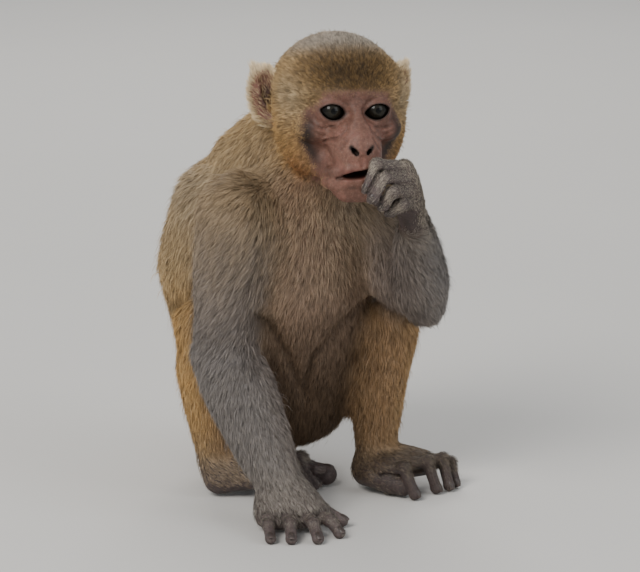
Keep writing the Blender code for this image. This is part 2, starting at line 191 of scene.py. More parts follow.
def box_of(name):
    return [np.array(corner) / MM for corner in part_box(name)]


def middle_of(name):
    return sum(box_of(name)) / 2


def joint_between(first, second, reach=1.5, samples=700):
    """Middle of the faces along which two nodes meet."""
    places, faces = node_mesh(first)
    tree = tree_of(*node_mesh(second))
    chance = np.random.default_rng(SEED)
    corners = places[faces]
    area = np.linalg.norm(np.cross(corners[:, 1] - corners[:, 0], corners[:, 2] - corners[:, 0]), axis=1)
    picked = corners[chance.choice(len(faces), samples, p=area / area.sum())]
    share = chance.dirichlet((1, 1, 1), samples)
    points = (picked * share[:, :, None]).sum(1)
    near = [point for point in points if tree.find_nearest(point)[3] < reach]
    return np.mean(near, axis=0) if near else points.mean(0)


class HeadFrame:
    """The head's own axes, from the places of the eyes: forward, left and up, in millimetres."""

    EYE_FORWARD, EYE_UP = 38.0, -0.5

    def __init__(self):
        eyes = [middle_of("eye_" + side) for side in SIDES]
        self.left = (eyes[0] - eyes[1]) / np.linalg.norm(eyes[0] - eyes[1])
        up = np.array((0, 0, 1.0)) - self.left * self.left[2]
        self.up = up / np.linalg.norm(up)
        self.forward = np.cross(self.left, self.up)
        self.eye_left = np.linalg.norm(eyes[0] - eyes[1]) / 2
        self.centre = sum(eyes) / 2 - self.forward * self.EYE_FORWARD - self.up * self.EYE_UP
        self.axes = np.stack((self.forward, self.left, self.up), axis=1)

    def place(self, forward, left, up):
        return self.centre + self.axes @ np.array((forward, left, up), float)

    def local(self, points):
        return (points - self.centre) @ self.axes


head = HeadFrame()


# The distance field


def unit(vectors):
    vectors = np.asarray(vectors, float)
    return vectors / np.maximum(np.linalg.norm(vectors, axis=-1, keepdims=True), 1e-9)


def smooth_step(value, low, high):
    share = np.clip((value - low) / (high - low), 0, 1)
    return share * share * (3 - 2 * share)


def hill(value, centre, half):
    return np.exp(-(((value - centre) / half) ** 2))


def turned(first, second, angle):
    """Two directions square to each other, turned by an angle in radians, the first towards the second."""
    cosine, sine = math.cos(angle), math.sin(angle)
    return first * cosine + second * sine, second * cosine - first * sine


def along_axis(line, axis):
    """A row of numbers laid along one axis of a grid."""
    return line.reshape([-1 if k == axis else 1 for k in range(3)])


def soft_least(first, second, blend):
    share = np.clip(0.5 + 0.5 * (second - first) / blend, 0, 1)
    return second + (first - second) * share - blend * share * (1 - share)


class Form:
    """A closed shape: its distance at a grid of places, and the box that holds it."""

    def __init__(self, distance, low, high):
        self.distance, self.low, self.high = distance, np.asarray(low, float), np.asarray(high, float)


def egg(centre, half, axes=np.eye(3)):
    """An ellipsoid with half widths along the columns of axes."""
    centre, half = np.asarray(centre, float), np.asarray(half, float)
    offset = centre @ axes

    def distance(place):
        near = far = 0.0
        for axis in range(3):
            along = sum(place[k] * axes[k, axis] for k in range(3)) - offset[axis]
            near = near + (along / half[axis]) ** 2
            far = far + (along / half[axis] ** 2) ** 2
        near, far = np.sqrt(near), np.sqrt(far)
        return near * (near - 1) / np.maximum(far, 1e-4)

    reach = np.sqrt(((axes * half) ** 2).sum(1))
    return Form(distance, centre - reach, centre + reach)


def taper(start, end, r_start, r_end):
    """Two balls and all between them."""
    start, end = np.asarray(start, float), np.asarray(end, float)
    run = end - start
    length_squared = max(run @ run, 1e-6)

    def distance(place):
        offset = [place[k] - start[k] for k in range(3)]
        along = sum(offset[k] * run[k] for k in range(3)) / length_squared
        along = np.clip(along, 0, 1)
        gap = sum((offset[k] - along * run[k]) ** 2 for k in range(3))
        return np.sqrt(gap) - (r_start + (r_end - r_start) * along)

    wide = max(r_start, r_end)
    return Form(distance, np.minimum(start, end) - wide, np.maximum(start, end) + wide)


def common(first, second):
    """Where two shapes overlap."""
    return Form(
        lambda place: np.maximum(first.distance(place), second.distance(place)),
        np.maximum(first.low, second.low),
        np.minimum(first.high, second.high),
    )


class Clay:
    """A distance field on a grid whose lines stand closer where the form is finer."""

    REACH = 5.0

    def __init__(self, lines, field):
        self.lines, self.field = lines, field

    def window(self, low, high):
        picks = []
        for line, start, end in zip(self.lines, low, high):
            picks.append(slice(*np.searchsorted(line, (start, end))))
        return tuple(picks), [along_axis(self.lines[k][picks[k]], k) for k in range(3)]

    def blend_in(self, form, blend, sign):
        picks, place = self.window(form.low - self.REACH - blend, form.high + self.REACH + blend)
        self.field[picks] = sign * soft_least(sign * self.field[picks], form.distance(place), blend)

    def add(self, form, blend=1.0):
        self.blend_in(form, blend, 1)

    def cut(self, form, blend=1.0):
        self.blend_in(form, blend, -1)

    def press(self, low, high, change):
        """Moves the surface in by change(points in the head's axes), in millimetres, within a box."""
        picks, place = self.window(low, high)
        offset = [place[k] - head.centre[k] for k in range(3)]
        local = [sum(offset[k] * head.axes[k, axis] for k in range(3)) for axis in range(3)]
        self.field[picks] += change(*local)


def grid_lines(low, high, zones, coarse):
    """Grid lines from low to high: each zone is (start, end, step), and the rest is coarse."""
    lines, place = [], low
    while place < high:
        lines.append(place)
        steps = [step for start, end, step in zones if start <= place < end]
        place += min(steps, default=coarse)
    return np.array(lines + [place])


def resample(values, old_lines, new_lines):
    """Values on one grid of lines, read off on another."""
    for axis in range(3):
        index = np.clip(np.searchsorted(old_lines[axis], new_lines[axis]) - 1, 0, len(old_lines[axis]) - 2)
        step = old_lines[axis][index + 1] - old_lines[axis][index]
        share = ((new_lines[axis] - old_lines[axis][index]) / step).astype(np.float32)
        share = along_axis(share, axis)
        values = np.take(values, index, axis) * (1 - share) + np.take(values, index + 1, axis) * share
    return values


def surface_net(lines, field):
    """The surface where the field is zero: points, and faces of four corners."""
    inside = field < 0
    counts = sum(
        inside[a : a - 1 or None, b : b - 1 or None, c : c - 1 or None].astype(np.int8)
        for a in (0, 1)
        for b in (0, 1)
        for c in (0, 1)
    )
    cells = np.argwhere((counts > 0) & (counts < 8))
    number = np.full(counts.shape, -1, np.int32)
    number[tuple(cells.T)] = np.arange(len(cells))
    total, hits = np.zeros((len(cells), 3)), np.zeros(len(cells))
    for axis in range(3):
        others = [k for k in range(3) if k != axis]
        for first in (0, 1):
            for second in (0, 1):
                start = cells.copy()
                start[:, others[0]] += first
                start[:, others[1]] += second
                end = start.copy()
                end[:, axis] += 1
                low, high = field[tuple(start.T)], field[tuple(end.T)]
                crossed = (low < 0) != (high < 0)
                share = np.where(crossed, low / np.where(crossed, low - high, 1), 0)
                place = np.stack([lines[k][start[:, k]] for k in range(3)], axis=1)
                place[:, axis] += share * (lines[axis][end[:, axis]] - lines[axis][start[:, axis]])
                total += place * crossed[:, None]
                hits += crossed
    points = total / hits[:, None]
    faces = []
    for axis in range(3):
        one, two = (axis + 1) % 3, (axis + 2) % 3
        low = np.take(inside, range(0, inside.shape[axis] - 1), axis)
        high = np.take(inside, range(1, inside.shape[axis]), axis)
        edges = np.argwhere(low != high)
        keep = (edges[:, one] > 0) & (edges[:, two] > 0)
        keep &= (edges[:, one] < inside.shape[one] - 1) & (edges[:, two] < inside.shape[two] - 1)
        edges = edges[keep]
        corners = []
        for back_one, back_two in ((1, 1), (0, 1), (0, 0), (1, 0)):
            cell = edges.copy()
            cell[:, one] -= back_one
            cell[:, two] -= back_two
            corners.append(number[tuple(cell.T)])
        quads = np.stack(corners, axis=1)
        outward = low[tuple(edges.T)]
        faces.append(np.where(outward[:, None], quads, quads[:, ::-1]))
    return points, np.concatenate(faces)


def largest_piece(points, faces):
    """Drops every piece that isn't joined to the largest."""
    ends = np.concatenate([faces[:, [0, 1]], faces[:, [1, 2]], faces[:, [2, 3]], faces[:, [3, 0]]])
    ends = np.concatenate([ends, ends[:, ::-1]])
    ends = ends[np.argsort(ends[:, 0], kind="stable")]
    starts = np.searchsorted(ends[:, 0], np.arange(len(points)))
    label = np.arange(len(points))
    while True:
        least = np.minimum(label, np.minimum.reduceat(label[ends[:, 1]], starts))
        least = least[least]
        if (least == label).all():
            break
        label = least
    kept = label == np.bincount(label).argmax()
    renumber = np.cumsum(kept) - 1
    return points[kept], renumber[faces[kept[faces[:, 0]]]]


# Objects


def mesh_object(name, points, faces):
    """A mesh object from points in millimetres and faces that all have the same number of corners."""
    data = bpy.data.meshes.new(name)
    points, faces = np.asarray(points), np.asarray(faces)
    sides = faces.shape[1]
    data.vertices.add(len(points))
    data.vertices.foreach_set("co", (points * MM).astype(np.float32).ravel())
    data.loops.add(faces.size)
    data.loops.foreach_set("vertex_index", faces.astype(np.int32).ravel())
    data.polygons.add(len(faces))
    data.polygons.foreach_set("loop_start", np.arange(0, faces.size, sides, dtype=np.int32))
    data.update(calc_edges=True)
    data.polygons.foreach_set("use_smooth", np.ones(len(faces), bool))
    obj = bpy.data.objects.new(name, data)
    bpy.context.scene.collection.objects.link(obj)
    return obj


def put_attribute(obj, name, values):
    """Stores one vector for each vertex."""
    made = obj.data.attributes.new(name, "FLOAT_VECTOR", "POINT")
    made.data.foreach_set("vector", np.asarray(values, np.float32).ravel())


def settle(obj):
    """Replaces an object's mesh with what its modifiers make of it."""
    made = bpy.data.meshes.new_from_object(obj.evaluated_get(bpy.context.evaluated_depsgraph_get()))
    obj.modifiers.clear()
    old = obj.data
    obj.data = made
    bpy.data.meshes.remove(old)


def read_mesh(obj):
    """Points in millimetres, unit normals, and triangles of an object."""
    data = obj.data
    data.calc_loop_triangles()
    corners = read_array(data.loop_triangles, "vertices", np.int32)
    return read_array(data.vertices, "co") / MM, read_array(data.vertex_normals, "vector"), corners


def read_field(obj, name):
    return read_array(obj.data.attributes[name].data, "vector")


def move_points(obj, points):
    obj.data.vertices.foreach_set("co", (points * MM).astype(np.float32).ravel())
    obj.data.update()


def finish_piece(obj, slot, material, *nodes):
    """Gives a piece its material, attaches it to the root and hides the solids it takes the place of; the
    slot is not used.
    """
    obj.data.materials.clear()
    obj.data.materials.append(material)
    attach(obj, "root")
    if nodes:
        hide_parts(*nodes)


# Skin: the masses of trunk and limbs


UNITED = MASSES + ["head"]
HEAD_SINK = 9.5  # the head's solid only joins the neck to the head's own forms, and stays inside them
CLOSE_GAPS = 0.5  # half the joint gap between solids, and a little more
MASS_VOXEL = 2.2
MASS_SOFTEN = 16
COARSE_STEP = 4.0
NEAR_STEPS = 3  # coarse steps from the masses within which the distance is worked out


def united_masses():
    """One closed surface round the solids of trunk, limbs and head, and the part of each face."""
    places, faces, owners = joined_mesh(UNITED)
    obj = mesh_object("masses", places, faces)
    swell = obj.modifiers.new("Swell", "DISPLACE")
    swell.strength = CLOSE_GAPS * MM
    swell.mid_level = 0.0
    remesh = obj.modifiers.new("Remesh", "REMESH")
    remesh.mode = "VOXEL"
    remesh.voxel_size = MASS_VOXEL * MM
    soften = obj.modifiers.new("Soften", "SMOOTH")
    soften.factor = 0.5
    soften.iterations = MASS_SOFTEN
    settle(obj)
    points, _, corners = read_mesh(obj)
    bpy.data.objects.remove(obj, do_unlink=True)
    solids = tree_of(places, faces)
    middles = points[corners].mean(1)
    part = np.array([owners[solids.find_nearest(middle)[2]] for middle in middles])
    return points, corners, part


def mass_field(lines):
    """The distance to the masses, drawn in by the coat's depth, on coarse grid lines."""
    points, corners, part = united_masses()
    nearest = tree_of(points, corners).find_nearest
    depths = [HEAD_SINK if name == "head" else COAT[kind(name)][0] for name in UNITED]
    depth_of = np.array(depths)[part]
    shape = [len(line) for line in lines]
    cells = np.round((points - [line[0] for line in lines]) / COARSE_STEP).astype(int)
    near = np.zeros(shape, bool)
    near[tuple(np.clip(cells, 0, np.array(shape) - 1).T)] = True
    for axis in range(3):
        for _ in range(NEAR_STEPS):
            near = spread(near, axis, np.maximum)
    field = np.full(shape, COARSE_STEP * NEAR_STEPS, np.float32)
    depth = np.full(shape, float(np.median(depth_of)), np.float32)
    for i, j, k in np.argwhere(near):
        place = Vector((lines[0][i], lines[1][j], lines[2][k]))
        spot, normal, index, gap = nearest(place)
        field[i, j, k] = gap if (place - spot).dot(normal) > 0 else -gap
        depth[i, j, k] = depth_of[index]
    for i in range(1, shape[0]):
        deep = ~near[i] & (field[i - 1] < 0)
        field[i][deep] = -COARSE_STEP * NEAR_STEPS
    for _ in range(NEAR_STEPS):
        for axis in range(3):
            depth = spread(depth, axis, lambda a, b: (a + b) / 2)
    return field + depth


def spread(values, axis, join):
    """Each value joined with its neighbours on both sides along one axis."""
    count = values.shape[axis]
    padded = np.concatenate([np.take(values, [0], axis), values, np.take(values, [-1], axis)], axis)
    before, after = (np.take(padded, range(start, start + count), axis) for start in (0, 2))
    return join(join(before, values), join(values, after))


# Skin: the head


LID_OPEN = (8.9, 5.3)  # half width and half height of the opening between the lids
LID_THICK = 1.9
EYE_TILT = math.radians(9)
EYE_RADIUS = 9.5
EYE_ASIDE, EYE_DROP = 0.7, 1.1  # how far the eyes lie to the right of and below the places of their solids


def add_head(clay):
    """Skull, brow, cheeks and jaw, drawn in by the coat where it is furred, and the bare muzzle."""
    axes, at = head.axes, head.place
    clay.add(egg(at(-5, 0, 1.5), (51, 42.5, 41.3), axes), 9)
    clay.add(egg(at(21, 0, 9), (21.5, 35, 20.5), axes), 5)
    for side in (-1, 1):
        clay.add(egg(at(11, 29 * side, -20), (15.5, 9.5, 21), axes), 8)
        clay.add(egg(at(16, 21 * side, -34), (14, 13, 15), axes), 8)
        clay.add(egg(at(31, 24 * side, -15), (12.5, 12.5, 10), axes), 5)
        clay.add(taper(at(41, 6 * side, 11), at(34.5, 26 * side, 10), 7.2, 7.5), 4)
    clay.add(taper(at(20, 0, -36), at(49, 0, -47), 19, 14), 6)
    clay.add(taper(at(35, 0, -14), at(51.5, 0, -29), 20.3, 16.8), 5)
    for side in (-1, 1):
        clay.add(taper(at(28, 12 * side, -42), at(49, 8.5 * side, -50), 11, 9.3), 5)
    clay.add(taper(at(42, 0, 2), at(58, -0.6, -20), 5.6, 6.8), 4)


MOUTH_LINE = (
    (48, -19, -45), (57.5, -15.5, -43.8), (64.5, -8.5, -41.6), (67, 0, -39.8), (65, 8, -38.8), (56, 17, -40)
)
UPPER_LIP, LOWER_LIP, MOUTH_SEAM = (-1.8, 2.6), (-4.0, -5.6), (1.2, -1.3)  # forward and up from the line
MOUTH_TILT = math.radians(11)


def mouth_line(shift):
    return [head.place(f + shift[0], l, u + shift[1]) for f, l, u in MOUTH_LINE]


def add_mouth(clay):
    """Lips that meet at the corners and part in the middle, towards the left side."""
    upper, lower, seam = (mouth_line(shift) for shift in (UPPER_LIP, LOWER_LIP, MOUTH_SEAM))
    for k in range(len(MOUTH_LINE) - 1):
        clay.add(taper(*upper[k : k + 2], 3.4, 3.4), 4)
        clay.add(taper(*lower[k : k + 2], 3.6, 3.6), 4)
    clay.add(taper(head.place(51, -5.5, -54), head.place(51, 5.5, -54), 8.7, 8.7), 5)
    for start, end in zip(seam[1:], seam[2:]):
        clay.cut(taper(start, end, 0.8, 1.0), 0.8)
    roll = np.stack((head.forward, *turned(head.left, head.up, MOUTH_TILT)), axis=1)
    clay.cut(egg(head.place(67, -0.5, -41.0), (14, 13.5, 3.1), roll), 1.2)


# Outer, middle and inner point of a nostril's opening, and the point where it ends inside
NOSTRIL = ((64.6, 7.2, -22.9), (65.8, 5.2, -25.2), (66.2, 3.7, -26.6), (55.5, 5.0, -22.5))
NOSE_ASIDE = 0.9


def nose_place(forward, left, up):
    return head.place(forward, left - NOSE_ASIDE, up)


def nostril_points(side):
    return [nose_place(f, l * side, u) for f, l, u in NOSTRIL]


def add_nose(clay):
    """A low tip with wings, and nostrils that slant down to the middle and widen as they go."""
    at = nose_place
    clay.add(taper(at(59, 0, -18.5), at(62.5, 0, -24.5), 5.6, 4.3), 3)
    for side in (-1, 1):
        clay.add(taper(at(59.5, 7.2 * side, -20.2), at(62.5, 5.4 * side, -26.2), 3.3, 2.6), 2)
        outer, middle, inner, deep = nostril_points(side)
        clay.cut(taper(outer, middle, 0.7, 1.4), 0.5)
        clay.cut(taper(middle, inner, 1.5, 1.7), 0.5)
        for mouth in (middle, inner):
            clay.cut(taper(mouth, deep, 1.4, 1.6), 0.4)
    clay.cut(taper(at(69.0, 0, -29.5), at(70.0, 0, -35), 1.5, 1.4), 2)


def eye_centre(side):
    """Middle of an eyeball."""
    return head.place(head.EYE_FORWARD, head.eye_left * TOWARDS[side] - EYE_ASIDE, head.EYE_UP - EYE_DROP)


def eye_opening(side):
    """The almond between the lids, as a form that runs forward from the eye."""
    centre = eye_centre(side)
    across, rise = turned(head.left, head.up, EYE_TILT * TOWARDS[side])
    almond = np.stack((head.forward, across, rise), axis=1)
    half_wide, half_tall = LID_OPEN
    round_off = (half_wide**2 - half_tall**2) / (2 * half_tall)
    wide = half_tall + round_off
    upper = egg(centre + head.forward * 8 - rise * round_off, (14, wide, wide), almond)
    lower = egg(centre + head.forward * 8 + rise * round_off, (14, wide, wide), almond)
    return common(upper, lower)


def add_eye_lids(clay):
    """A shell round each eyeball, with the opening cut through it."""
    for side in SIDES:
        centre = eye_centre(side)
        clay.cut(egg(centre + head.forward * 12.5, (9.5, 11.5, 7.6), head.axes), 4)
        clay.add(egg(centre, np.full(3, EYE_RADIUS + LID_THICK), head.axes), 2.5)
        clay.cut(egg(centre, np.full(3, EYE_RADIUS + 0.25), head.axes), 0.3)
        clay.cut(eye_opening(side), 0.7)


# Radius from the eye's centre, first and last turn in degrees from the nose's side, and depth
EYE_FOLDS = (
    (10.2, -105, 5, 0.45),
    (13.0, -150, -70, 0.45),
    (17.4, -135, -95, 0.45),
    (22.0, -125, -90, 0.40),
)
# Left and up of a crease's points, for both sides, and its depth
FACE_LINES = (
    (((8.0, -10.2), (12.5, -15.6), (19.0, -20.8)), 0.85),
    (((8.8, -16.0), (13.2, -23.8)), 0.55),
    (((13, -9.5), (19, -12.0), (26, -11.5)), 0.55),
)


def gap_to_line(left, up, line):
    """Distance from a line of points in the face's plane."""
    nearest = 99.0
    for (l_start, u_start), (l_end, u_end) in zip(line, line[1:]):
        run = (l_end - l_start, u_end - u_start)
        share = ((left - l_start) * run[0] + (up - u_start) * run[1]) / (run[0] ** 2 + run[1] ** 2)
        share = np.clip(share, 0, 1)
        gap = np.hypot(left - l_start - share * run[0], up - u_start - share * run[1])
        nearest = np.minimum(nearest, gap)
    return nearest


def fold_depth(forward, left, up):
    """Depth of the face's creases: arcs below the eyes, lid folds, and lines across the nose's root."""
    total = 0.0
    for sign in (-1, 1):
        across = (left + EYE_ASIDE) * sign - head.eye_left
        rise = up - head.EYE_UP + EYE_DROP
        ring = np.sqrt((across * 0.86) ** 2 + rise**2)
        turn = np.degrees(np.arctan2(rise, -across))
        side = smooth_step(left * sign, 0, 4)
        for radius, low, high, depth in EYE_FOLDS:
            stretch = smooth_step(turn, low - 14, low + 12) * (1 - smooth_step(turn, high - 12, high + 12))
            total = total + side * stretch * depth * hill(ring, radius, 0.85)
            total = total - side * stretch * depth * 0.55 * hill(ring, radius + 1.9, 1.2)
        for line, depth in FACE_LINES:
            gap = gap_to_line((left + EYE_ASIDE) * sign, up + EYE_DROP, line)
            total = total + side * depth * (hill(gap, 0, 0.8) - 0.5 * hill(gap, 2.0, 1.1))
        lid = smooth_step(turn, 20, 50) * (1 - smooth_step(turn, 150, 172))
        total = total + side * lid * 0.3 * hill(ring, 8.6, 0.9)
    root = hill(left, 0, 6) * hill(up, 3.0, 7.0)
    total = total + root * 0.16 * np.sin(up * 2.4)
    return total * smooth_step(forward, 26, 34)


def press_folds(clay):
    """Presses the face's creases into the clay."""
    reach = np.array((62, 62, 40))
    middle = head.place(45, 0, -8)
    clay.press(middle - reach, middle + reach, lambda *place: fold_depth(*place).astype(np.float32))


EAR_HALF = (4.0, 13.0, 20.5)  # half thickness, half width and half height
EAR_LEAN = 12.0
EAR_SPLAY = {"left": 42.0, "right": 25.0}


def ear_frame(side):
    """The ear's own axes: out through its open face, away from the head, and up to its tip."""
    sign = TOWARDS[side]
    lean, splay = math.radians(EAR_LEAN) * sign, math.radians(EAR_SPLAY[side]) * sign
    outward, face = turned(head.left, head.forward, -splay)
    across, up = turned(outward, head.up, -lean)
    return face, across * sign, up


def ear_place(side, points):
    """The ear's own axes, the points' offset from its middle, and how near its rim they are, 1 on it."""
    axes = ear_frame(side)
    offset = points - middle_of("ear_" + side)
    return axes, offset, np.hypot((offset @ axes[1]) / EAR_HALF[1], (offset @ axes[2]) / EAR_HALF[2])


def add_ear(clay, side):
    """A leaf with a rolled rim, a ridge, a hollow that deepens to the canal, and a flap before it."""
    face, out, up = ear_frame(side)
    middle = middle_of("ear_" + side) - face * 0.5
    axes = np.stack((face, out, up), axis=1)

    def at(forward, outward, rise):
        return middle + axes @ np.array((forward, outward, rise), float)

    clay.add(egg(middle, EAR_HALF, axes), 2.5)
    clay.add(taper(at(0, 3, 12), at(-0.5, 6.5, 21.5), 4.2, 1.3), 3)
    clay.add(taper(at(-1, -10, -8), at(0, -7, 10), 5, 4), 4)
    clay.cut(egg(at(3.6, -0.5, 0.5), (4.3, 9.2, 15.5), axes), 1.6)
    ridge = [(1.2, 4.8, 10), (1.4, 5.6, 3), (1.2, 3.6, -5), (1.2, -0.5, -10)]
    for start, end in zip(ridge, ridge[1:]):
        clay.add(taper(at(*start), at(*end), 1.3, 1.3), 1.8)
    clay.cut(egg(at(1.0, -3.2, -2.5), (4.8, 4.2, 6.0), axes), 1.2)
    clay.add(taper(at(3.2, -8.5, -3), at(3.4, -8.0, -7), 2.0, 1.9), 1.5)


# Skin: fingers and toes


def digit_joints(name):
    return [np.array(point, float) - STANCE_CENTRE for point in DIGIT_JOINTS[name]]


def digit_radius(name):
    """Half the thickness of a digit: the fifth is slimmer."""
    return DIGIT_RADIUS[kind(name)] * (0.93 if "little" in name or "5" in name else 1.0)


def row_joints(digits, side):
    """Mean root, middle joint and tip of a row of digits."""
    return np.mean([digit_joints(f"{digit}_{side}") for digit in digits], axis=0)


def upright(run, guess):
    """The unit vector square to a direction that lies nearest to a guess."""
    run = unit(run)
    return unit(guess - run * (guess @ run))


def back_of(name):
    """Towards the nail's side of a digit's last bone."""
    root, middle, tip = digit_joints(name)
    guess = np.array((0, 0, 1.0))
    if name == "thumb_left":
        guess = np.array((0, -1.0, 0.3))
    elif name.endswith("left") and name.startswith("finger"):
        guess = middle - (root + tip) / 2
    return upright(tip - middle, guess)


def add_digit(clay, name):
    """Bones with knobs at the joints, a pad below the tip, and creases across the joints."""
    root, middle, tip = digit_joints(name)
    thick, back = digit_radius(name), back_of(name)
    knob = 1.0 if kind(name) == "hallux" else 1.06
    clay.add(taper(root, middle, thick * 1.05, thick * 0.9), 2.2)
    clay.add(taper(middle, tip, thick * 0.9, thick * 0.86), 1.5)
    clay.add(egg(middle, np.full(3, thick * knob)), 1.2)
    clay.add(egg(tip - back * 0.4, np.full(3, thick * 0.9)), 1.0)
    crease_at = ((root, middle, 0.95), (root, middle, 0.86), (middle, tip, 0.12), (middle, tip, 0.62))
    for start, end, share in crease_at:
        run = unit(end - start)
        across = np.cross(run, back)
        spot = start + (end - start) * share + back * thick * 0.98
        clay.cut(taper(spot - across * thick * 0.6, spot + across * thick * 0.6, 0.5, 0.5), 0.9)


def part_digits(clay, names):
    """Grooves between neighbouring digits, on the side of their nails."""
    for first, second in zip(names, names[1:]):
        thick = DIGIT_RADIUS[kind(first)] * 0.92
        rows = []
        for name in (first, second):
            root, middle, tip = digit_joints(name)
            rows.append([root * 0.8 + middle * 0.2, middle, tip])
        back = unit(back_of(first) + back_of(second))
        spots = [(one + two) / 2 + back * thick * 0.62 for one, two in zip(*rows)]
        for start, end in zip(spots, spots[1:]):
            clay.cut(taper(start, end, 1.25, 1.35), 1.0)


AROUND = 4.0  # room left round the solids' box
FACE_STEP = 0.75
FLOOR_GAP = 0.05


def face_window():
    """The box, in the figure's axes, that holds the bare face."""
    corners = [head.place(f, l, u) for f in (26, 74) for l in (-40, 40) for u in (-68, 20)]
    return np.min(corners, axis=0), np.max(corners, axis=0)


def sculpt_skin():
    """The whole surface: points, and faces of four corners."""
    low = np.array(CAD_BOX[0]) / MM - AROUND
    high = np.array(CAD_BOX[1]) / MM + AROUND
    ears = [middle_of("ear_" + side)[0] for side in SIDES]
    face = [(start, end, FACE_STEP) for start, end in zip(*face_window())]
    zones = (
        [face[0], (min(ears) - 20, max(ears) + 20, 1.0)],
        [face[1], (low[1], 24, 1.2)],
        [(low[2], 32, 1.1), face[2], (face[2][1], high[2], 1.2)],
    )
    steps = (1.4, 2.8, 2.2)
    lines = [grid_lines(*row) for row in zip(low, high, zones, steps)]
    coarse = [np.arange(low[k] - 2, high[k] + 2 + COARSE_STEP, COARSE_STEP) for k in range(3)]
    clay = Clay(lines, resample(mass_field(coarse), coarse, lines).astype(np.float32))
    add_head(clay)
    for side in SIDES:
        add_ear(clay, side)
    add_mouth(clay)
    add_nose(clay)
    add_eye_lids(clay)
    press_folds(clay)
    for name in DIGITS:
        add_digit(clay, name)
    for side in SIDES:
        for row in (FINGERS, TOES):
            part_digits(clay, [f"{digit}_{side}" for digit in row])
    ground = FLOOR_GAP - along_axis(lines[2], 2)
    clay.field = np.maximum(clay.field, ground.astype(np.float32))
    return largest_piece(*surface_net(lines, clay.field))


# Skin: the mesh, thinned where hair covers it


BODY_FACES = 55000
FINE_FACES = 58000  # hands, feet, ears and the rim of the face
# Half width of the bare face at heights up the head
FACE_EDGE = (
    (-66, -60, -51, -42, -35, -27, -23, -14, -6, 2, 9),
    (10, 20, 23, 25.5, 28, 32.5, 35.5, 36, 33.5, 28.5, 23),
)
BROW_UP, BROW_BEND, CHIN_UP, FACE_BACK = 13.0, 0.004, -68, 12


def on_bare_face(local):
    """How far a place lies outside the edge of the bare face, in millimetres."""
    forward, left, up = local.T
    side = np.abs(left) - np.interp(up, *FACE_EDGE)
    brow = up - BROW_UP + BROW_BEND * left**2
    return np.maximum.reduce([side, brow, CHIN_UP - up, FACE_BACK - forward])


def thin_out(obj, points, faces):
    """Fewer faces on body, hands, feet and ears, and all of them on the bare face."""
    local = head.local(points)
    fine = np.zeros(len(points), bool)
    for side in SIDES:
        fine |= np.linalg.norm(points - middle_of("ear_" + side), axis=1) < 27
        for part in ("hand", "foot"):
            low, high = box_of(f"{part}_{side}")
            fine |= ((points > low - 20) & (points < high + 20)).all(1)
    forward, left, up = local.T
    outside = on_bare_face(local)
    face = (np.abs(left) < 44) & (outside < 2) & (up > -66)
    fine |= (outside < 12) & (np.abs(left) < 52) & (up > -72) & (forward > 6)
    fine &= ~face
    total = 2 * len(faces)
    for name, wanted, kept in (("Body", ~face & ~fine, BODY_FACES), ("Fine", fine, FINE_FACES)):
        group = obj.vertex_groups.new(name=name)
        group.add(np.flatnonzero(wanted).tolist(), 1.0, "REPLACE")
        own = 2 * int(wanted[faces[:, 0]].sum())
        thin = obj.modifiers.new(name, "DECIMATE")
        thin.ratio = min(1.0, 1 - (own - kept) / total)
        thin.use_collapse_triangulate = True
        thin.vertex_group = group.name
        total -= max(0, own - kept)
    settle(obj)


CREASE = 3.2
CREASE_HALF, CREASE_REACH = 5.0, 16.0
# Lines where the thighs fold against the belly, and where the right knee is tucked under the flank
BODY_FOLDS = (
    (
        (-74, -64, 150), (-65.7, -61.8, 141), (-54, -58, 121.6),
        (-43.8, -54.3, 107), (-35.3, -49.3, 93.3), (-27, -42, 78),
    ),
    (
        (6, -69, 141), (-8, -70, 133.7), (-17.5, -65.2, 118.6),
        (-25.8, -61, 110), (-25.2, -50, 90.7), (-21, -40, 73),
    ),
    ((-90, -3, 160), (-94, 12.2, 146), (-92, 36, 133)),
)


def fold_share(points, normals, line, half):
    """How near each point lies to a fold's line, from 0 to 1, whatever its depth below it."""
    nearest = np.full(len(points), 99.0)
    corners = np.array(line, float)
    for start, end in zip(corners, corners[1:]):
        run = end - start
        share = np.clip((points - start) @ run / (run @ run), 0, 1)
        offset = points - start - share[:, None] * run
        sunk = (offset * normals).sum(1)
        offset = offset - sunk[:, None] * normals
        gap = np.where(np.abs(sunk) < CREASE_REACH, np.linalg.norm(offset, axis=1), 99.0)
        nearest = np.minimum(nearest, gap)
    return hill(nearest, 0, half)


def nearness(part, kinds, net, passes):
    """For each kind of part, a share that falls smoothly from 1 on it to 0 away from it."""
    belong = np.stack([KINDS[part] == name for name in kinds], axis=1).astype(float)
    return net.even(belong, passes).T


def smooth_joints(obj, part, net):
    """Lets shoulders, elbows and nape run into their neighbours without a step."""
    points, normals, _ = read_mesh(obj)
    near = nearness(part, ("upper_arm", "neck"), net, 34)
    arm, neck = np.clip(6.0 * near * (1 - near), 0, 1)
    back, low = smooth_step(normals[:, 1], -0.5, 0.1), smooth_step(232 - points[:, 2], -40, 0)
    joint = np.maximum(arm, neck * back * low)[:, None]
    move_points(obj, points + (net.even(points, 44) - points) * joint)


def press_creases(obj, part, net):
    """Draws the skin in where a thigh or an arm meets the trunk, and gives how deep each point is, which is
    also painted as shade.
    """
    near = nearness(part, ("thigh", "upper_arm"), net, 9)
    thigh, arm = np.clip(4 * near * (1 - near), 0, 1) ** 1.5
    points, normals, _ = read_mesh(obj)
    front = smooth_step(-normals[:, 1], -0.3, 0.3)
    deep = np.maximum(thigh * 0.8, arm * front * 0.2)
    for line in BODY_FOLDS:
        deep = np.maximum(deep, fold_share(points, normals, line, CREASE_HALF) * 1.1)
    move_points(obj, points - normals * (deep * CREASE)[:, None])
    return deep


# Skin: what each point belongs to, and how its hair grows


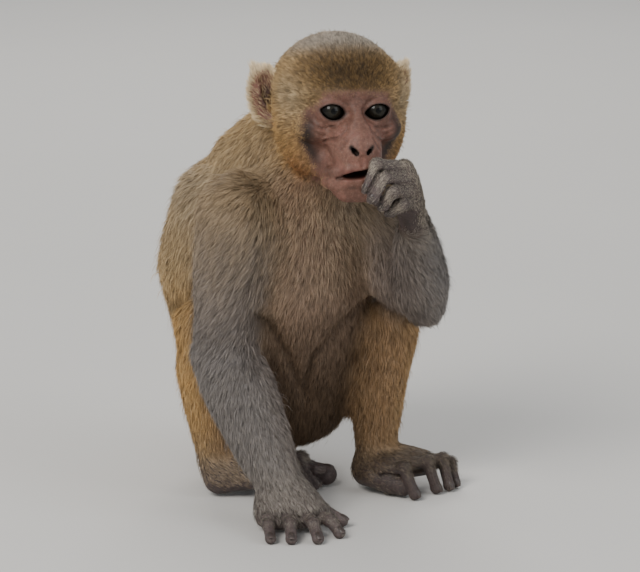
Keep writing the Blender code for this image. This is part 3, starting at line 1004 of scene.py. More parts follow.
EVEN_PASSES = 60
TAIL_PATH = (
    (-4, 118, 72), (0, 140, 56), (5, 158, 30), (16, 176, 12),
    (42, 192, 8.6), (74, 200, 7.4), (118, 206, 5.6),
)


def part_of_points(points):
    """For each point, the place in FLESH of the solid nearest to it."""
    places, faces, owners = joined_mesh(FLESH)
    nearest = tree_of(places, faces).find_nearest
    return np.array([owners[nearest(point)[2]] for point in points])


def bone_lines():
    """The line that each part is built along, from its root to its far end."""
    lines = {name: digit_joints(name) for name in DIGITS}
    for side in SIDES:
        for limb, row in ((("upper_arm", "forearm", "hand"), FINGERS), (("thigh", "shin", "foot"), TOES)):
            upper, lower, last = (f"{name}_{side}" for name in limb)
            pairs = ((upper, "trunk"), (upper, lower), (lower, last))
            joints = [joint_between(*pair) for pair in pairs] + [row_joints(row, side)[0]]
            lines.update(zip((upper, lower, last), zip(joints, joints[1:])))
        middle, up = middle_of("ear_" + side), ear_frame(side)[2]
        lines["ear_" + side] = (middle - up * 20, middle + up * 22)
    low, high = box_of("trunk")
    core = (low + high) / 2
    lines["trunk"] = ((core[0], core[1], high[2]), (core[0], core[1], low[2]))
    lines["neck"] = (joint_between("neck", "head"), joint_between("neck", "trunk"))
    lines["head"] = (head.place(0, 0, 46), head.place(0, 0, -70))
    lines["tail"] = [np.array(point) - STANCE_CENTRE for point in TAIL_PATH]
    return {name: np.array(line, float) for name, line in lines.items()}


def along_line(points, line):
    """Direction of the nearest stretch of a line, and how far along the line each point lies."""
    nearest = np.full(len(points), np.inf)
    direction, reach, passed = np.zeros((len(points), 3)), np.zeros(len(points)), 0.0
    for start, end in zip(line, line[1:]):
        run = end - start
        length = np.linalg.norm(run)
        share = (points - start) @ run / length**2
        gap = np.linalg.norm(points - start - np.clip(share, 0, 1)[:, None] * run, axis=1)
        nearer = gap < nearest
        nearest[nearer] = gap[nearer]
        direction[nearer] = run / length
        reach[nearer] = passed + share[nearer] * length
        passed += length
    return direction, reach


def head_lie(points):
    """Hair on the head lies away from the face, falls at the nape, and sweeps down the cheeks."""
    local = head.local(points)
    away = unit(local - (56, 0, -6))
    nape = smooth_step(-local[:, 0], -6, 34)
    cheek = smooth_step(-local[:, 2], -8, 30)
    away[:, 2] -= 1.3 * nape + 0.45 * cheek
    away[:, 0] -= 0.35 * cheek
    return away @ head.axes.T


def lie_of(name, points, lines):
    """The way the hair of one part lies, before it is laid along the skin."""
    sort = kind(name)
    if sort == "trunk":
        lie = np.tile((0, 0.25, -1.0), (len(points), 1))
        lie[:, 0] = 0.75 * np.sign(points[:, 0] + 22) * smooth_step(np.abs(points[:, 0] + 22), 8, 44)
        lie[:, 0] *= smooth_step(-points[:, 1], 20, 50) * smooth_step(points[:, 2], 130, 180)
        return lie
    if sort == "head":
        return head_lie(points)
    if sort == "ear":
        _, out, up = ear_frame(name.split("_")[1])
        offset = points - lines[name][0]
        return unit((offset @ out)[:, None] * out * 1.4 + (offset @ up)[:, None] * up * 0.7)
    direction, reach = along_line(points, lines[name])
    if sort == "neck":
        return direction + (0, 0, -0.5)
    outwards = np.array((TOWARDS.get(name.split("_")[-1], 0) * 0.7, 0.55, -1.0))
    if sort == "upper_arm":
        return direction * 0.25 + outwards
    if name == "forearm_left":
        return direction * 0.1 + (0.55, 0.1, -0.8)
    if sort == "forearm":
        lower = smooth_step(reach, 5, 65)[:, None]
        return (direction * 0.25 + outwards) * (1 - lower) + (direction + (0, 0.3, -0.25)) * lower
    if sort == "thigh":
        outward = TOWARDS[name.split("_")[1]]
        return direction * 0.15 + (outward * 0.15, 0.35, -1.0)
    if sort == "shin":
        return direction + (0, 0.25, -0.2)
    return direction


def hair_growth(name, points, normals):
    """Length, hairs to the square millimetre, width and lift of one part's hair."""
    sort = kind(name)
    _, length, density, width, lift = COAT[sort]
    long, dense, wide, high = (np.full(len(points), value) for value in (length, density, width, lift))
    plan = points + STANCE_CENTRE
    local = head.local(points)
    if sort == "head":
        outside = on_bare_face(local)
        far = smooth_step(outside, 0, 22)
        crown = smooth_step(local[:, 2], 14, 34)
        near = smooth_step(outside, -7, 3)
        long *= (0.12 + 0.18 * near + 0.70 * far) * (1 - 0.25 * crown)
        wide *= 0.45 + 0.15 * near + 0.40 * far
        high *= 0.55 + 0.2 * near + 0.25 * far
        dense *= near**2 * (1.3 - 0.3 * far)
        chin = smooth_step(-local[:, 2], 46, 60) * smooth_step(local[:, 0], 20, 34)
        dense *= 1 - 0.72 * chin
        side = smooth_step(np.abs(local[:, 1]), 27, 38) * smooth_step(local[:, 0], -14, 6)
        ruff = side * (1 - smooth_step(local[:, 2], 8, 26)) * smooth_step(outside, 2, 14)
        long *= 1 + 1.25 * ruff
        high += 0.24 * ruff
    elif sort == "ear":
        axes, _, rim = ear_place(name.split("_")[1], points)
        inner = smooth_step(normals @ axes[0], -0.1, 0.5) * (1 - smooth_step(rim, 0.72, 0.92))
        dense *= 1 - (0.88 if name == "ear_right" else 0.3) * inner
        long *= 0.8 + 0.8 * smooth_step(rim, 0.75, 1.05)
    elif sort in ("finger", "thumb", "toe", "hallux"):
        root, middle, tip = digit_joints(name)
        knuckle_back = upright(middle - root, middle - (root + tip) / 2)
        dense *= smooth_step(np.maximum(normals @ back_of(name), normals @ knuckle_back), 0.0, 0.45)
        dense *= 1 - 0.85 * smooth_step((points - middle) @ unit(tip - middle), 2, 9)
    elif sort in ("hand", "foot"):
        side = name.split("_")[1]
        back = np.array((0, 0, 1.0))
        if name == "hand_left":
            roots, _, tips = row_joints(FINGERS, side)
            back = upright(roots - middle_of(name), roots - tips)
        dense *= smooth_step(normals @ back, -0.35, 0.25)
    elif sort == "trunk":
        front = smooth_step(-normals[:, 1], 0.1, 0.6)
        chest = front * smooth_step(plan[:, 2], 150, 200)
        long *= 1 - 0.38 * front
        high *= 1 - 0.2 * front
        dense *= 1 - 0.42 * chest
        wide *= 1 - 0.3 * front
    elif sort == "neck":
        front = smooth_step(-normals[:, 1], 0.0, 0.6)
        long *= 1 - 0.4 * front
        dense *= 1 - 0.45 * front
    floor = smooth_step(points[:, 2], 0.5, 3.0)
    return np.stack((long, dense * floor, wide, high), axis=1)


# Skin and coat: the markings, which both carry


COLOURS = ("gold", "grey", "pale", "dark", "orange", "taupe")
# Share of each colour in the coat of each kind of part, before its own patches
TINTS = {
    "trunk": (0.18, 0.00, 0.0, 0.0, 0.0, 0.00),
    "neck": (0.15, 0.00, 0.0, 0.0, 0.0, 0.00),
    "head": (0.40, 0.06, 0.0, 0.24, 0.0, 0.00),
    "ear": (0.10, 0.00, 0.4, 0.0, 0.0, 0.00),
    "upper_arm": (0.05, 0.40, 0.0, 0.0, 0.0, 0.15),
    "forearm": (0.00, 0.95, 0.0, 0.0, 0.0, 0.00),
    "hand": (0.00, 0.92, 0.06, 0.0, 0.0, 0.00),
    "finger": (0.00, 0.95, 0.14, 0.0, 0.0, 0.00),
    "thumb": (0.00, 0.90, 0.1, 0.0, 0.0, 0.00),
    "thigh": (0.72, 0.00, 0.0, 0.0, 0.0, 0.00),
    "shin": (0.72, 0.00, 0.0, 0.0, 0.0, 0.00),
    "foot": (0.05, 0.55, 0.0, 0.45, 0.0, 0.20),
    "toe": (0.00, 0.85, 0.1, 0.1, 0.0, 0.00),
    "hallux": (0.00, 0.70, 0.0, 0.2, 0.0, 0.00),
    "tail": (0.50, 0.10, 0.0, 0.0, 0.0, 0.00),
}
HANDS_AND_FEET = ("hand", "finger", "thumb", "foot", "toe", "hallux")


def coat_markings(part, points, normals, lines):
    """Shares of the coat's colours at each point, in the order of COLOURS."""
    tints = dict(zip(COLOURS, np.array([TINTS[name] for name in KINDS])[part].T.copy()))

    def more(colour, share):
        tints[colour] = np.maximum(tints[colour], share)

    sorts, sides = KINDS[part], SIGNS[part]
    x, y, z = (points + STANCE_CENTRE).T
    forward, left, up = head.local(points).T
    width = np.abs(left)
    front = smooth_step(-normals[:, 1], 0.05, 0.6)
    inner = smooth_step(-sides * normals[:, 0], 0.05, 0.5)
    trunk = (sorts == "trunk") | (sorts == "neck")
    flank = trunk * (1 - smooth_step(z, 60, 175)) * smooth_step(y, 0, 55)
    outer = smooth_step(sides * normals[:, 0] + 0.6 * normals[:, 1], -0.35, 0.35)
    for side in SIDES:
        name = "upper_arm_" + side
        own = part == FLESH.index(name)
        top, elbow = box_of(name)[1][2], lines[name][1][2]
        down = (top - points[own, 2]) / (top - elbow)
        tints["grey"][own] = 0.25 + 0.70 * smooth_step(down, 0.05, 0.85)
        tints["gold"][own] = 0.15 * (1 - smooth_step(down, 0.1, 0.5))
    tints["gold"] *= np.where(sorts == "thigh", 0.25 + 0.75 * outer, 1.0)
    tints["gold"] *= np.where(sorts == "shin", 0.6 + 0.4 * outer, 1.0)
    more("gold", flank * 0.85)
    more("orange", trunk * (1 - smooth_step(z, 25, 95)) * smooth_step(y, 60, 105) * 0.45)
    more("taupe", trunk * front * 0.92)
    more("taupe", ((sorts == "thigh") * 0.75 + (sorts == "shin") * 0.45) * (1 - outer))
    more("taupe", (sorts == "upper_arm") * inner * 0.45)
    more("taupe", (sorts == "forearm") * inner * 0.25)
    # painted shade: the lower belly, under the thighs, darker
    more("dark", trunk * front * (1 - smooth_step(z, 85, 160)) * 0.72)
    # painted shade: the inner sides of thighs and shins, between the legs, darker
    more("dark", np.isin(sorts, ("thigh", "shin")) * inner * 0.45)
    more("gold", trunk * smooth_step(normals[:, 1] + normals[:, 2], 0.2, 0.9) * 0.3)
    scalp = (sorts == "head").astype(float)
    cheek = smooth_step(width, 26, 36) * smooth_step(-up, -12, 8) * (1 - smooth_step(forward, 36, 50))
    more("gold", scalp * cheek * 0.8)
    jaw = hill(width, 32, 12) * hill(up, -50, 18) * hill(forward, 20, 20)
    more("orange", scalp * jaw * 0.95)
    temple = hill(width, 39, 8) * hill(up, 2, 15) * smooth_step(forward, 4, 20)
    more("pale", scalp * temple * 0.45)
    patch = np.exp(-(np.abs((left + 3) / 42.0) ** 3) - np.abs((up - 23) / 16.0) ** 3)
    patch = patch * smooth_step(forward, 4, 22)
    flecks = 0.5 + 0.5 * np.sin(left * 1.7 + up * 0.6) * np.sin(up * 1.1 - left * 0.5)
    edge = 1 - 0.1 * smooth_step(width, 16, 32)
    more("dark", scalp * patch * (0.84 + 0.14 * flecks) * edge)
    more("gold", scalp * patch * 0.9)
    # painted sheen: grey and pale on the top of the head, where the light falls
    crown = smooth_step(up - 0.12 * forward, 24, 38) * scalp * (0.3 + 0.7 * smooth_step(forward, -34, 4))
    more("grey", crown * 0.96)
    more("pale", crown * 0.20)
    throat = scalp * smooth_step(-up, 44, 58)
    more("taupe", throat * 0.7)
    # painted shade: darker and more orange under the jaw, where the head shades the neck
    under_jaw = np.isin(sorts, ("neck", "head")) * front * smooth_step(-up, 46, 60)
    under_jaw = under_jaw * smooth_step(forward, -12, 10)
    more("dark", under_jaw * 0.35)
    more("orange", under_jaw * 0.5)
    # painted shade: the left foot and toes darker where the shin shades them, the right foot less dark
    more("dark", np.isin(sorts, ("foot", "toe")) * (sides > 0) * 0.55)
    tints["dark"][(sorts == "foot") & (sides < 0)] = 0.22
    more("dark", (sorts == "shin") * (1 - outer) * 0.2)
    more("orange", (sorts == "shin") * (1 - outer) * 0.2)
    # painted shade: the underside of the jaw darker
    more("dark", scalp * jaw * 0.36)
    # painted shade: the front of the neck darker
    more("dark", (sorts == "neck") * front * 0.27)
    # painted highlight: grey and pale on the backs of the shoulders
    shoulder = trunk * hill(z, 222, 26) * smooth_step(np.abs(x), 38, 62) * (1 - front)
    more("grey", shoulder * 0.4)
    more("pale", shoulder * 0.25)
    chest = trunk * front * smooth_step(z, 165, 215) * hill(x, -12, 36)
    more("pale", chest * 0.42)
    # painted light: the left hand's hair paler where the light falls on it
    more("pale", np.isin(sorts, ("hand", "finger", "thumb")) * (sides > 0) * 0.20)
    for side in SIDES:
        axes, offset, rim = ear_place(side, points)
        fringe = (sorts == "ear") * (sides == TOWARDS[side]) * smooth_step(rim, 0.7, 1.0)
        more("pale", fringe * (0.85 + 0.15 * smooth_step(offset @ axes[2], 4, 16)))
    return np.stack(list(tints.values()), axis=1)


def skin_markings(part, points, normals):
    """Shares of bare skin, of its dark and red parts, and of the grey skin of hands and feet; the dark
    share holds the lid rims and cheek band and also painted shade.
    """
    sorts = KINDS[part]
    local = head.local(points)
    forward, left, up = local.T
    on_head = (sorts == "head") & (forward > 8)
    bare = on_head * (1 - smooth_step(on_bare_face(local), -1.5, 2.5))
    shades = []
    for side in SIDES:
        axes, offset, rim = ear_place(side, points)
        own = (sorts == "ear") * (np.linalg.norm(offset, axis=1) < 40)
        bare = np.maximum(bare, own)
        hollow = own * smooth_step(normals @ axes[0], -0.2, 0.4) * (1 - smooth_step(rim, 0.25, 0.62))
        # painted shade in the ear's hollow
        shades.append(hollow * 0.75)
        edge = eye_opening(side).distance(points.T)
        near = np.linalg.norm(points - eye_centre(side), axis=1) < 17
        shades.append(near * (1 - smooth_step(edge, 0.4, 1.6)) * 0.97)
    plan = points + STANCE_CENTRE
    core = np.isin(sorts, ("trunk", "neck")) * smooth_step(-normals[:, 1], 0.3, 0.8)
    core = core * smooth_step(plan[:, 2], 165, 205) * hill(plan[:, 0], -14, 34)
    bare = np.maximum(bare, core * 0.8)
    edge = -on_bare_face(local)
    band = np.exp(-(((edge - 3.5) / 5.2) ** 2)) * np.exp(-(np.abs((up + 23) / 19.0) ** 4))
    # painted shade: the face above the muzzle darker
    shades.append(on_head * smooth_step(up, -24, 4) * 0.23)
    shades.append(on_head * band * 0.99)
    # painted shade in the face's creases
    shades.append(on_head * np.clip(fold_depth(forward, left, up), 0, 1) * 0.55)
    # painted shade at the nostrils' rims and inside them
    for side in (-1, 1):
        outer, middle, inner, deep = nostril_points(side)
        pairs = ((outer, middle), (middle, inner))
        rims = [taper(*pair, 1.0, 1.4).distance(points.T) for pair in pairs]
        shades.append(on_head * (1 - smooth_step(np.minimum(*rims), 0.4, 1.2)))
        for mouth in (middle, inner):
            inside = taper(mouth * 0.75 + deep * 0.25, deep, 1.9, 2.2).distance(points.T)
            shades.append(on_head * (1 - smooth_step(inside, 0.6, 1.6)))
    # painted shade along the parting of the lips
    lips = mouth_line(MOUTH_SEAM)[1:]
    partings = [taper(*pair, 0.9, 0.9).distance(points.T) for pair in zip(lips, lips[1:])]
    shades.append(on_head * (1 - smooth_step(np.min(partings, axis=0), 0.0, 1.2)) * 0.6)
    gape = np.exp(-(((left + 0.5) / 14.0) ** 4) - ((up + 41.2) / 3.4) ** 4) * (forward > 50)
    depth = gape * (1 - smooth_step(forward, 60, 66.5))
    red = on_head * gape
    # painted shade deeper inside the mouth
    shades.append(on_head * depth * 0.75)
    # painted shade between the eyes, at the root of the nose
    bridge = hill(left, 0, 26) * hill(up, 5, 13) * 0.34
    shades.append(on_head * bridge)
    hands = np.isin(sorts, HANDS_AND_FEET).astype(float)
    # painted shade on the feet and toes, more on the left
    shades.append(np.isin(sorts, ("foot", "toe", "hallux")) * (0.35 + 0.13 * SIGNS[part]))
    # painted shade on the downward faces of hands and feet
    palm = hands * smooth_step(-normals[:, 2], 0.2, 0.7)
    shades.append(palm * 0.45)
    return np.stack((bare, np.max(shades, axis=0), red), axis=1), hands


class Net:
    """The edges of a mesh, along which fields are evened out."""

    def __init__(self, count, corners):
        ends = np.concatenate([corners[:, [0, 1]], corners[:, [1, 2]], corners[:, [2, 0]]])
        ends = np.concatenate([ends, ends[:, ::-1]])
        self.count, self.here, self.there = count, ends[:, 0], ends[:, 1]
        self.joins = np.maximum(np.bincount(self.here, minlength=count), 1)

    def even(self, values, passes):
        """Columns of values, each drawn towards the mean of its neighbours."""
        values = values.copy()
        for _ in range(passes):
            for column in range(values.shape[1]):
                total = np.bincount(self.here, values[self.there, column], self.count)
                values[:, column] = values[:, column] * 0.3 + total / self.joins * 0.7
        return values


def build_skin():
    """The skin object, with the fields that steer the coat stored on its points."""
    points, faces = sculpt_skin()
    obj = mesh_object("skin", points, faces)
    thin_out(obj, points, faces)
    points, _, corners = read_mesh(obj)
    part = part_of_points(points)
    net = Net(len(points), corners)
    smooth_joints(obj, part, net)
    crease = press_creases(obj, part, net)
    points, normals, corners = read_mesh(obj)
    lines = bone_lines()
    lie, growth = np.zeros((len(points), 3)), np.zeros((len(points), 4))
    for index, name in enumerate(FLESH):
        own = part == index
        lie[own] = unit(lie_of(name, points[own], lines))
        growth[own] = hair_growth(name, points[own], normals[own])
    lie = net.even(lie, EVEN_PASSES)
    lie = unit(lie - (lie * normals).sum(1, keepdims=True) * normals)
    rooted = growth[:, 1:2]
    growth = np.concatenate((net.even(growth[:, [0, 2, 3]], EVEN_PASSES), net.even(rooted, 2)), axis=1)
    coat = coat_markings(part, points, normals, lines)
    on_head = net.even((part >= FLESH.index("head")).astype(float)[:, None], 6)
    coat = net.even(coat, 3) * on_head + net.even(coat, 50) * (1 - on_head)
    # painted shade: the coat, and the skin under it, darker in the creases and folds
    coat[:, 3] = np.maximum(coat[:, 3], crease * 0.6)
    growth[:, 0] *= 1 - 0.35 * crease
    bare, hands = skin_markings(part, points, normals)
    bare = net.even(bare, 1)
    hands = net.even(hands[:, None], 5)
    put_attribute(obj, "lie", lie)
    put_attribute(obj, "growth", growth[:, [0, 3, 1]])
    put_attribute(obj, "lift", np.stack((growth[:, 2], part, growth[:, 2]), axis=1))
    put_attribute(obj, "coat_a", coat[:, :3])
    put_attribute(obj, "coat_b", coat[:, 3:])
    put_attribute(obj, "bare", bare)
    put_attribute(obj, "hands", np.repeat(hands, 3, axis=1))
    put_skin_patches(obj, points, corners, part, lines)
    return obj


# Patches: where each part of the skin, and each hair, lies on its texture


MARGIN = 0.03  # left free at the edges of each part's rectangle, as a share of it
# Lowest and highest place of each row of rectangles, and the parts in it
ROW_OF_PARTS = (
    (0.60, 1.00, ("head",)),
    (0.42, 0.60, ("trunk", "neck")),
    (0.24, 0.42, each_side("upper_arm", "forearm", "thigh", "shin")),
    (0.12, 0.24, each_side("hand", "foot", "ear") + ["tail"]),
    (0.00, 0.12, DIGITS),
)


def layout_of(rows):
    """For each part, the corner and size of its rectangle."""
    layout = {}
    for low, high, names in rows:
        for place, name in enumerate(names):
            layout[name] = (place / len(names), low, 1 / len(names), high - low)
    return layout


def placed(corner, size, share):
    """A share of a rectangle's width or height, within its margins."""
    return corner + size * (MARGIN + (1 - 2 * MARGIN) * share)


def unrolled(name, points, lines):
    """A part unrolled about its own line: turn round it, -0.5 to 0.5, and reach along it, 0 to 1."""
    line = lines[name]
    reach = along_line(points, line)[1]
    total = np.linalg.norm(np.diff(line, axis=0), axis=1).sum()
    run = unit(line[-1] - line[0])
    seam = -head.forward if name in ("head", "trunk", "neck") else np.array((0, 0, -1.0))
    seam = unit(seam - run * (seam @ run)) if abs(seam @ run) < 0.95 else unit(np.cross(run, (0, 1.0, 0)))
    side = np.cross(run, seam)
    offset = points - line[0]
    turn = np.arctan2(-(offset @ side), -(offset @ seam)) / (2 * math.pi)
    return turn, np.clip((reach / total + 0.35) / 1.7, 0, 1)


def put_skin_patches(obj, points, corners, part, lines):
    """The skin's texture map: each part unrolled in its own rectangle."""
    layout = layout_of(ROW_OF_PARTS)
    owner = np.median(part[corners], axis=1).astype(int)
    places = np.zeros((len(corners), 3, 2))
    for index, name in enumerate(FLESH):
        own = owner == index
        if not own.any():
            continue
        trio = points[corners[own]]
        middle_turn, _ = unrolled(name, trio.mean(1), lines)
        turn, reach = unrolled(name, trio.reshape(-1, 3), lines)
        turn = turn.reshape(-1, 3)
        turn = middle_turn[:, None] + (turn - middle_turn[:, None] + 0.5) % 1 - 0.5
        left, low, wide, tall = layout[name]
        across = placed(left, wide, np.clip(turn + 0.5, 0, 1))
        places[own] = np.stack((across, placed(low, tall, reach.reshape(-1, 3))), axis=2)
    patches = obj.data.uv_layers.new(name="OFBake")
    patches.data.foreach_set("uv", places.astype(np.float32).ravel())


# Coat: hairs


HAIRS_IN_PIECE = 65000
PATCH = 0.0015  # half of each hair's patch on the texture
TUFT_REACH, TUFT_BEND = 6, 0.4  # farthest from a tuft's middle, and least agreement of their normals
OWN_TURN, TUFT_TURN, ROLL = 0.16, 0.13, 0.42  # spread of a hair's turn, its tuft's turn and its roll
SPREAD = {"length": (0.72, 1.15), "lift": (0.7, 1.2), "gather": (0.4, 1.0), "width": (0.7, 1.25)}
STRAY_MORE, STRAY_GATHER = 1.35, 0.2  # how much longer and steeper a stray hair is, and how much looser
LEAST_LIFT, MOST_LIFT, MOST_STRAY = 0.02, 0.80, 0.85  # sine of a hair's angle to the skin
ROOT_DEPTH, LEAST_HEIGHT = 0.5, 0.25  # root below the skin, and hair above the floor
SAG, WAIST = 0.05, 0.85  # drop of the tip by its length, and width halfway
COATS = {
    "trunk": (of_kinds("trunk", "neck"), "coat_olive"),
    "head": (of_kinds("head", "ear"), "coat_buff"),
    "arm": (of_kinds("upper_arm", "forearm", "hand", "finger", "thumb"), "coat_grey"),
    "leg": (of_kinds("thigh", "shin", "foot", "toe", "hallux"), "coat_gold"),
    "tail": (of_kinds("tail"), "coat_gold"),
}


def scatter(skin, names, fullness, chance):
    """Roots of hair on some parts: the corners of the face of each, its shares of them, and its part."""
    points, _, corners = read_mesh(skin)
    part = read_field(skin, "lift")[:, 1].round().astype(int)
    owner = np.median(part[corners], axis=1).astype(int)
    wanted = np.isin(owner, [FLESH.index(name) for name in names])
    one, two, three = (points[corners[:, k]] for k in range(3))
    area = np.linalg.norm(np.cross(two - one, three - one), axis=1) / 2
    dense = read_field(skin, "growth")[:, 1][corners].mean(1)
    expected = area * dense * fullness * wanted
    count = np.floor(expected + chance.random(len(expected))).astype(int)
    face = np.repeat(np.arange(len(corners)), count)
    share = np.sqrt(chance.random((len(face), 1)))
    split = chance.random((len(face), 1))
    shares = np.concatenate((1 - share, share * (1 - split), share * split), axis=1)
    return corners[face], shares, owner[face]


def clumps(roots, normals, chance, size):
    """For each hair, the hair at the middle of its tuft."""
    middles = np.flatnonzero(chance.random(len(roots)) < 1 / size)
    tree = KDTree(len(middles))
    for place, root in enumerate(roots[middles].tolist()):
        tree.insert(root, place)
    tree.balance()
    nearest = middles[[tree.find(root)[1] for root in roots.tolist()]]
    apart = np.linalg.norm(roots - roots[nearest], axis=1) > TUFT_REACH
    apart |= (normals * normals[nearest]).sum(1) < TUFT_BEND
    return np.where(apart, np.arange(len(roots)), nearest)


def glow(owner, root, lock):
    """Lightness of each tuft: more varied on the head, and paler on crown, ears and left hand, a painted
    sheen on the crown and painted light on the left hand.
    """
    sorts = KINDS[owner]
    left_hand = np.isin(sorts, ("hand", "finger", "thumb")) & (SIGNS[owner] > 0)
    on_head = sorts == "head"
    lock = np.where(on_head, 1.8 * lock - 0.4, lock)
    forward, _, up = head.local(root).T
    # painted sheen on the crown
    lock += on_head * smooth_step(up, 28, 42) * smooth_step(forward, -34, 4) * 0.7
    # painted light on the left hand, and paler ears
    lock += left_hand * 0.8 + (sorts == "ear") * 0.7
    return lock


def grow_hairs(skin, names, settings, seed):
    """Root, part, places, strand values and markings of every hair of some parts, five points to a hair."""
    chance = np.random.default_rng(SEED + seed)
    fullness = settings.fullness * 1.0
    corners, share, owner = scatter(skin, names, fullness, chance)
    share = share[:, :, None]
    points, normals, _ = read_mesh(skin)

    def at_roots(values):
        return (values[corners] * share).sum(1)

    root, normal = at_roots(points), unit(at_roots(normals))
    lie = at_roots(read_field(skin, "lie"))
    lie = unit(lie - (lie * normal).sum(1, keepdims=True) * normal)
    length, _, width = at_roots(read_field(skin, "growth")).T
    lift = at_roots(read_field(skin, "lift"))[:, 0]
    marks = np.concatenate([at_roots(read_field(skin, name)) for name in ("coat_a", "coat_b")], axis=1)
    count = len(root)
    middle = clumps(root, normal, chance, settings.tuft)
    across = np.cross(lie, normal)
    own_turn, tuft_turn = chance.normal(0, OWN_TURN, count), chance.normal(0, TUFT_TURN, count)[middle]
    turn = (own_turn + tuft_turn)[:, None]
    lie, across = lie * np.cos(turn) + across * np.sin(turn), across * np.cos(turn) - lie * np.sin(turn)
    stray = chance.random(count) < settings.stray
    more = np.where(stray, STRAY_MORE, 1.0)
    reach = length * chance.uniform(*SPREAD["length"], count) * more * settings.length
    rise = lift * chance.uniform(*SPREAD["lift"], count) * (0.8 + 0.4 * chance.random(count)[middle])
    rise = np.clip(np.clip(rise, LEAST_LIFT, MOST_LIFT) * more, 0, MOST_STRAY)[:, None]
    run = (lie * np.sqrt(1 - rise**2) + normal * rise) * reach[:, None]
    tip = root + run
    gather = settings.gather * chance.uniform(*SPREAD["gather"], count)
    gather = gather * np.where(stray, STRAY_GATHER, 1.0)
    tip += (root[middle] + run[middle] - tip) * gather[:, None]
    tip[:, 2] -= reach * SAG
    run = tip - root
    bow = np.linalg.norm(run, axis=1)[:, None] * (0.04 + 0.22 * rise)
    half = root + run * 0.5 + normal * bow
    roll = chance.normal(0, ROLL, count)[:, None]
    flat = across * np.cos(roll) + normal * np.sin(roll)
    wide = width * settings.width * 1.0
    side = flat * (wide * chance.uniform(*SPREAD["width"], count) / 2)[:, None]
    start, waist = root - normal * ROOT_DEPTH, side * WAIST
    places = np.stack((start - side, start + side, half - waist, half + waist, tip), axis=1)
    places[:, :, 2] = np.maximum(places[:, :, 2], LEAST_HEIGHT)
    tint = 0.5 * chance.random(count) + 0.5 * chance.random(count)[middle]
    lock = glow(owner, root, chance.random(count)[middle])
    strand = np.zeros((count, 5, 3))
    strand[:, 2:4, 0], strand[:, 4, 0] = 0.5, 1.0
    strand[:, :, 1], strand[:, :, 2] = tint[:, None], lock[:, None]
    return root, owner, places, strand, marks


def hair_object(name, places, strand, marks, patch):
    """One piece of the coat: three faces to a hair, each hair with its own patch on the texture."""
    count = len(places)
    first = np.arange(count)[:, None, None] * 5
    faces = (first + np.array([(0, 1, 3), (0, 3, 2), (2, 3, 4)])).reshape(-1, 3)
    obj = mesh_object(name, places.reshape(-1, 3), faces)
    put_attribute(obj, "strand", strand.reshape(-1, 3))
    put_attribute(obj, "coat_a", np.repeat(marks[:, :3], 5, axis=0))
    put_attribute(obj, "coat_b", np.repeat(marks[:, 3:], 5, axis=0))
    spots = np.array([(-1, -1), (1, -1), (-1, 0), (1, 0), (0, 1)]) * PATCH
    corner_spots = patch[:, None, :] + spots[[0, 1, 3, 0, 3, 2, 2, 3, 4]]
    patches = obj.data.uv_layers.new(name="OFBake")
    patches.data.foreach_set("uv", corner_spots.astype(np.float32).ravel())
    return obj


def grow_coat(group, settings, material):
    """The coat of one group of parts, in pieces small enough to export whole."""
    skin = bpy.data.objects.get("skin")
    if skin is None:
        raise RuntimeError("sculpt the skin before growing its coat")
    names, slot = COATS[group]
    root, owner, places, strand, marks = grow_hairs(skin, names, settings, list(COATS).index(group))
    lines = bone_lines()
    layout = layout_of([(0.0, 1.0, names)])
    patch = np.empty((len(root), 2))
    for name in names:
        own = owner == FLESH.index(name)
        turn, reach = unrolled(name, root[own], lines)
        left, low, wide, tall = layout[name]
        patch[own] = np.stack((placed(left, wide, turn + 0.5), placed(low, tall, reach)), axis=1)
    pieces = max(1, math.ceil(len(root) / HAIRS_IN_PIECE))
    order = np.argsort(root @ np.array((0.25, 1.0, -0.12)), kind="stable")
    for number, own in enumerate(np.array_split(order, pieces)):
        name = f"coat_{group}_{number + 1}" if pieces > 1 else f"coat_{group}"
        obj = hair_object(name, places[own], strand[own], marks[own], patch[own])
        finish_piece(obj, slot, material)


# Materials


class Wire:
    """A socket of a shader, for arithmetic written as it reads."""

    def __init__(self, shader, socket):
        self.shader, self.socket = shader, socket

    def join(self, operation, first, second=None):
        return self.shader.node("Math", {"operation": operation}, {0: first, 1: second})

    def __add__(self, other):
        return self.join("ADD", self, other)

    def __sub__(self, other):
        return self.join("SUBTRACT", self, other)

    def __mul__(self, other):
        return self.join("MULTIPLY", self, other)

    def __truediv__(self, other):
        return self.join("DIVIDE", self, other)

    def __pow__(self, other):
        return self.join("POWER", self, other)

    def __rsub__(self, other):
        return self.join("SUBTRACT", other, self)

    __radd__ = __add__
    __rmul__ = __mul__


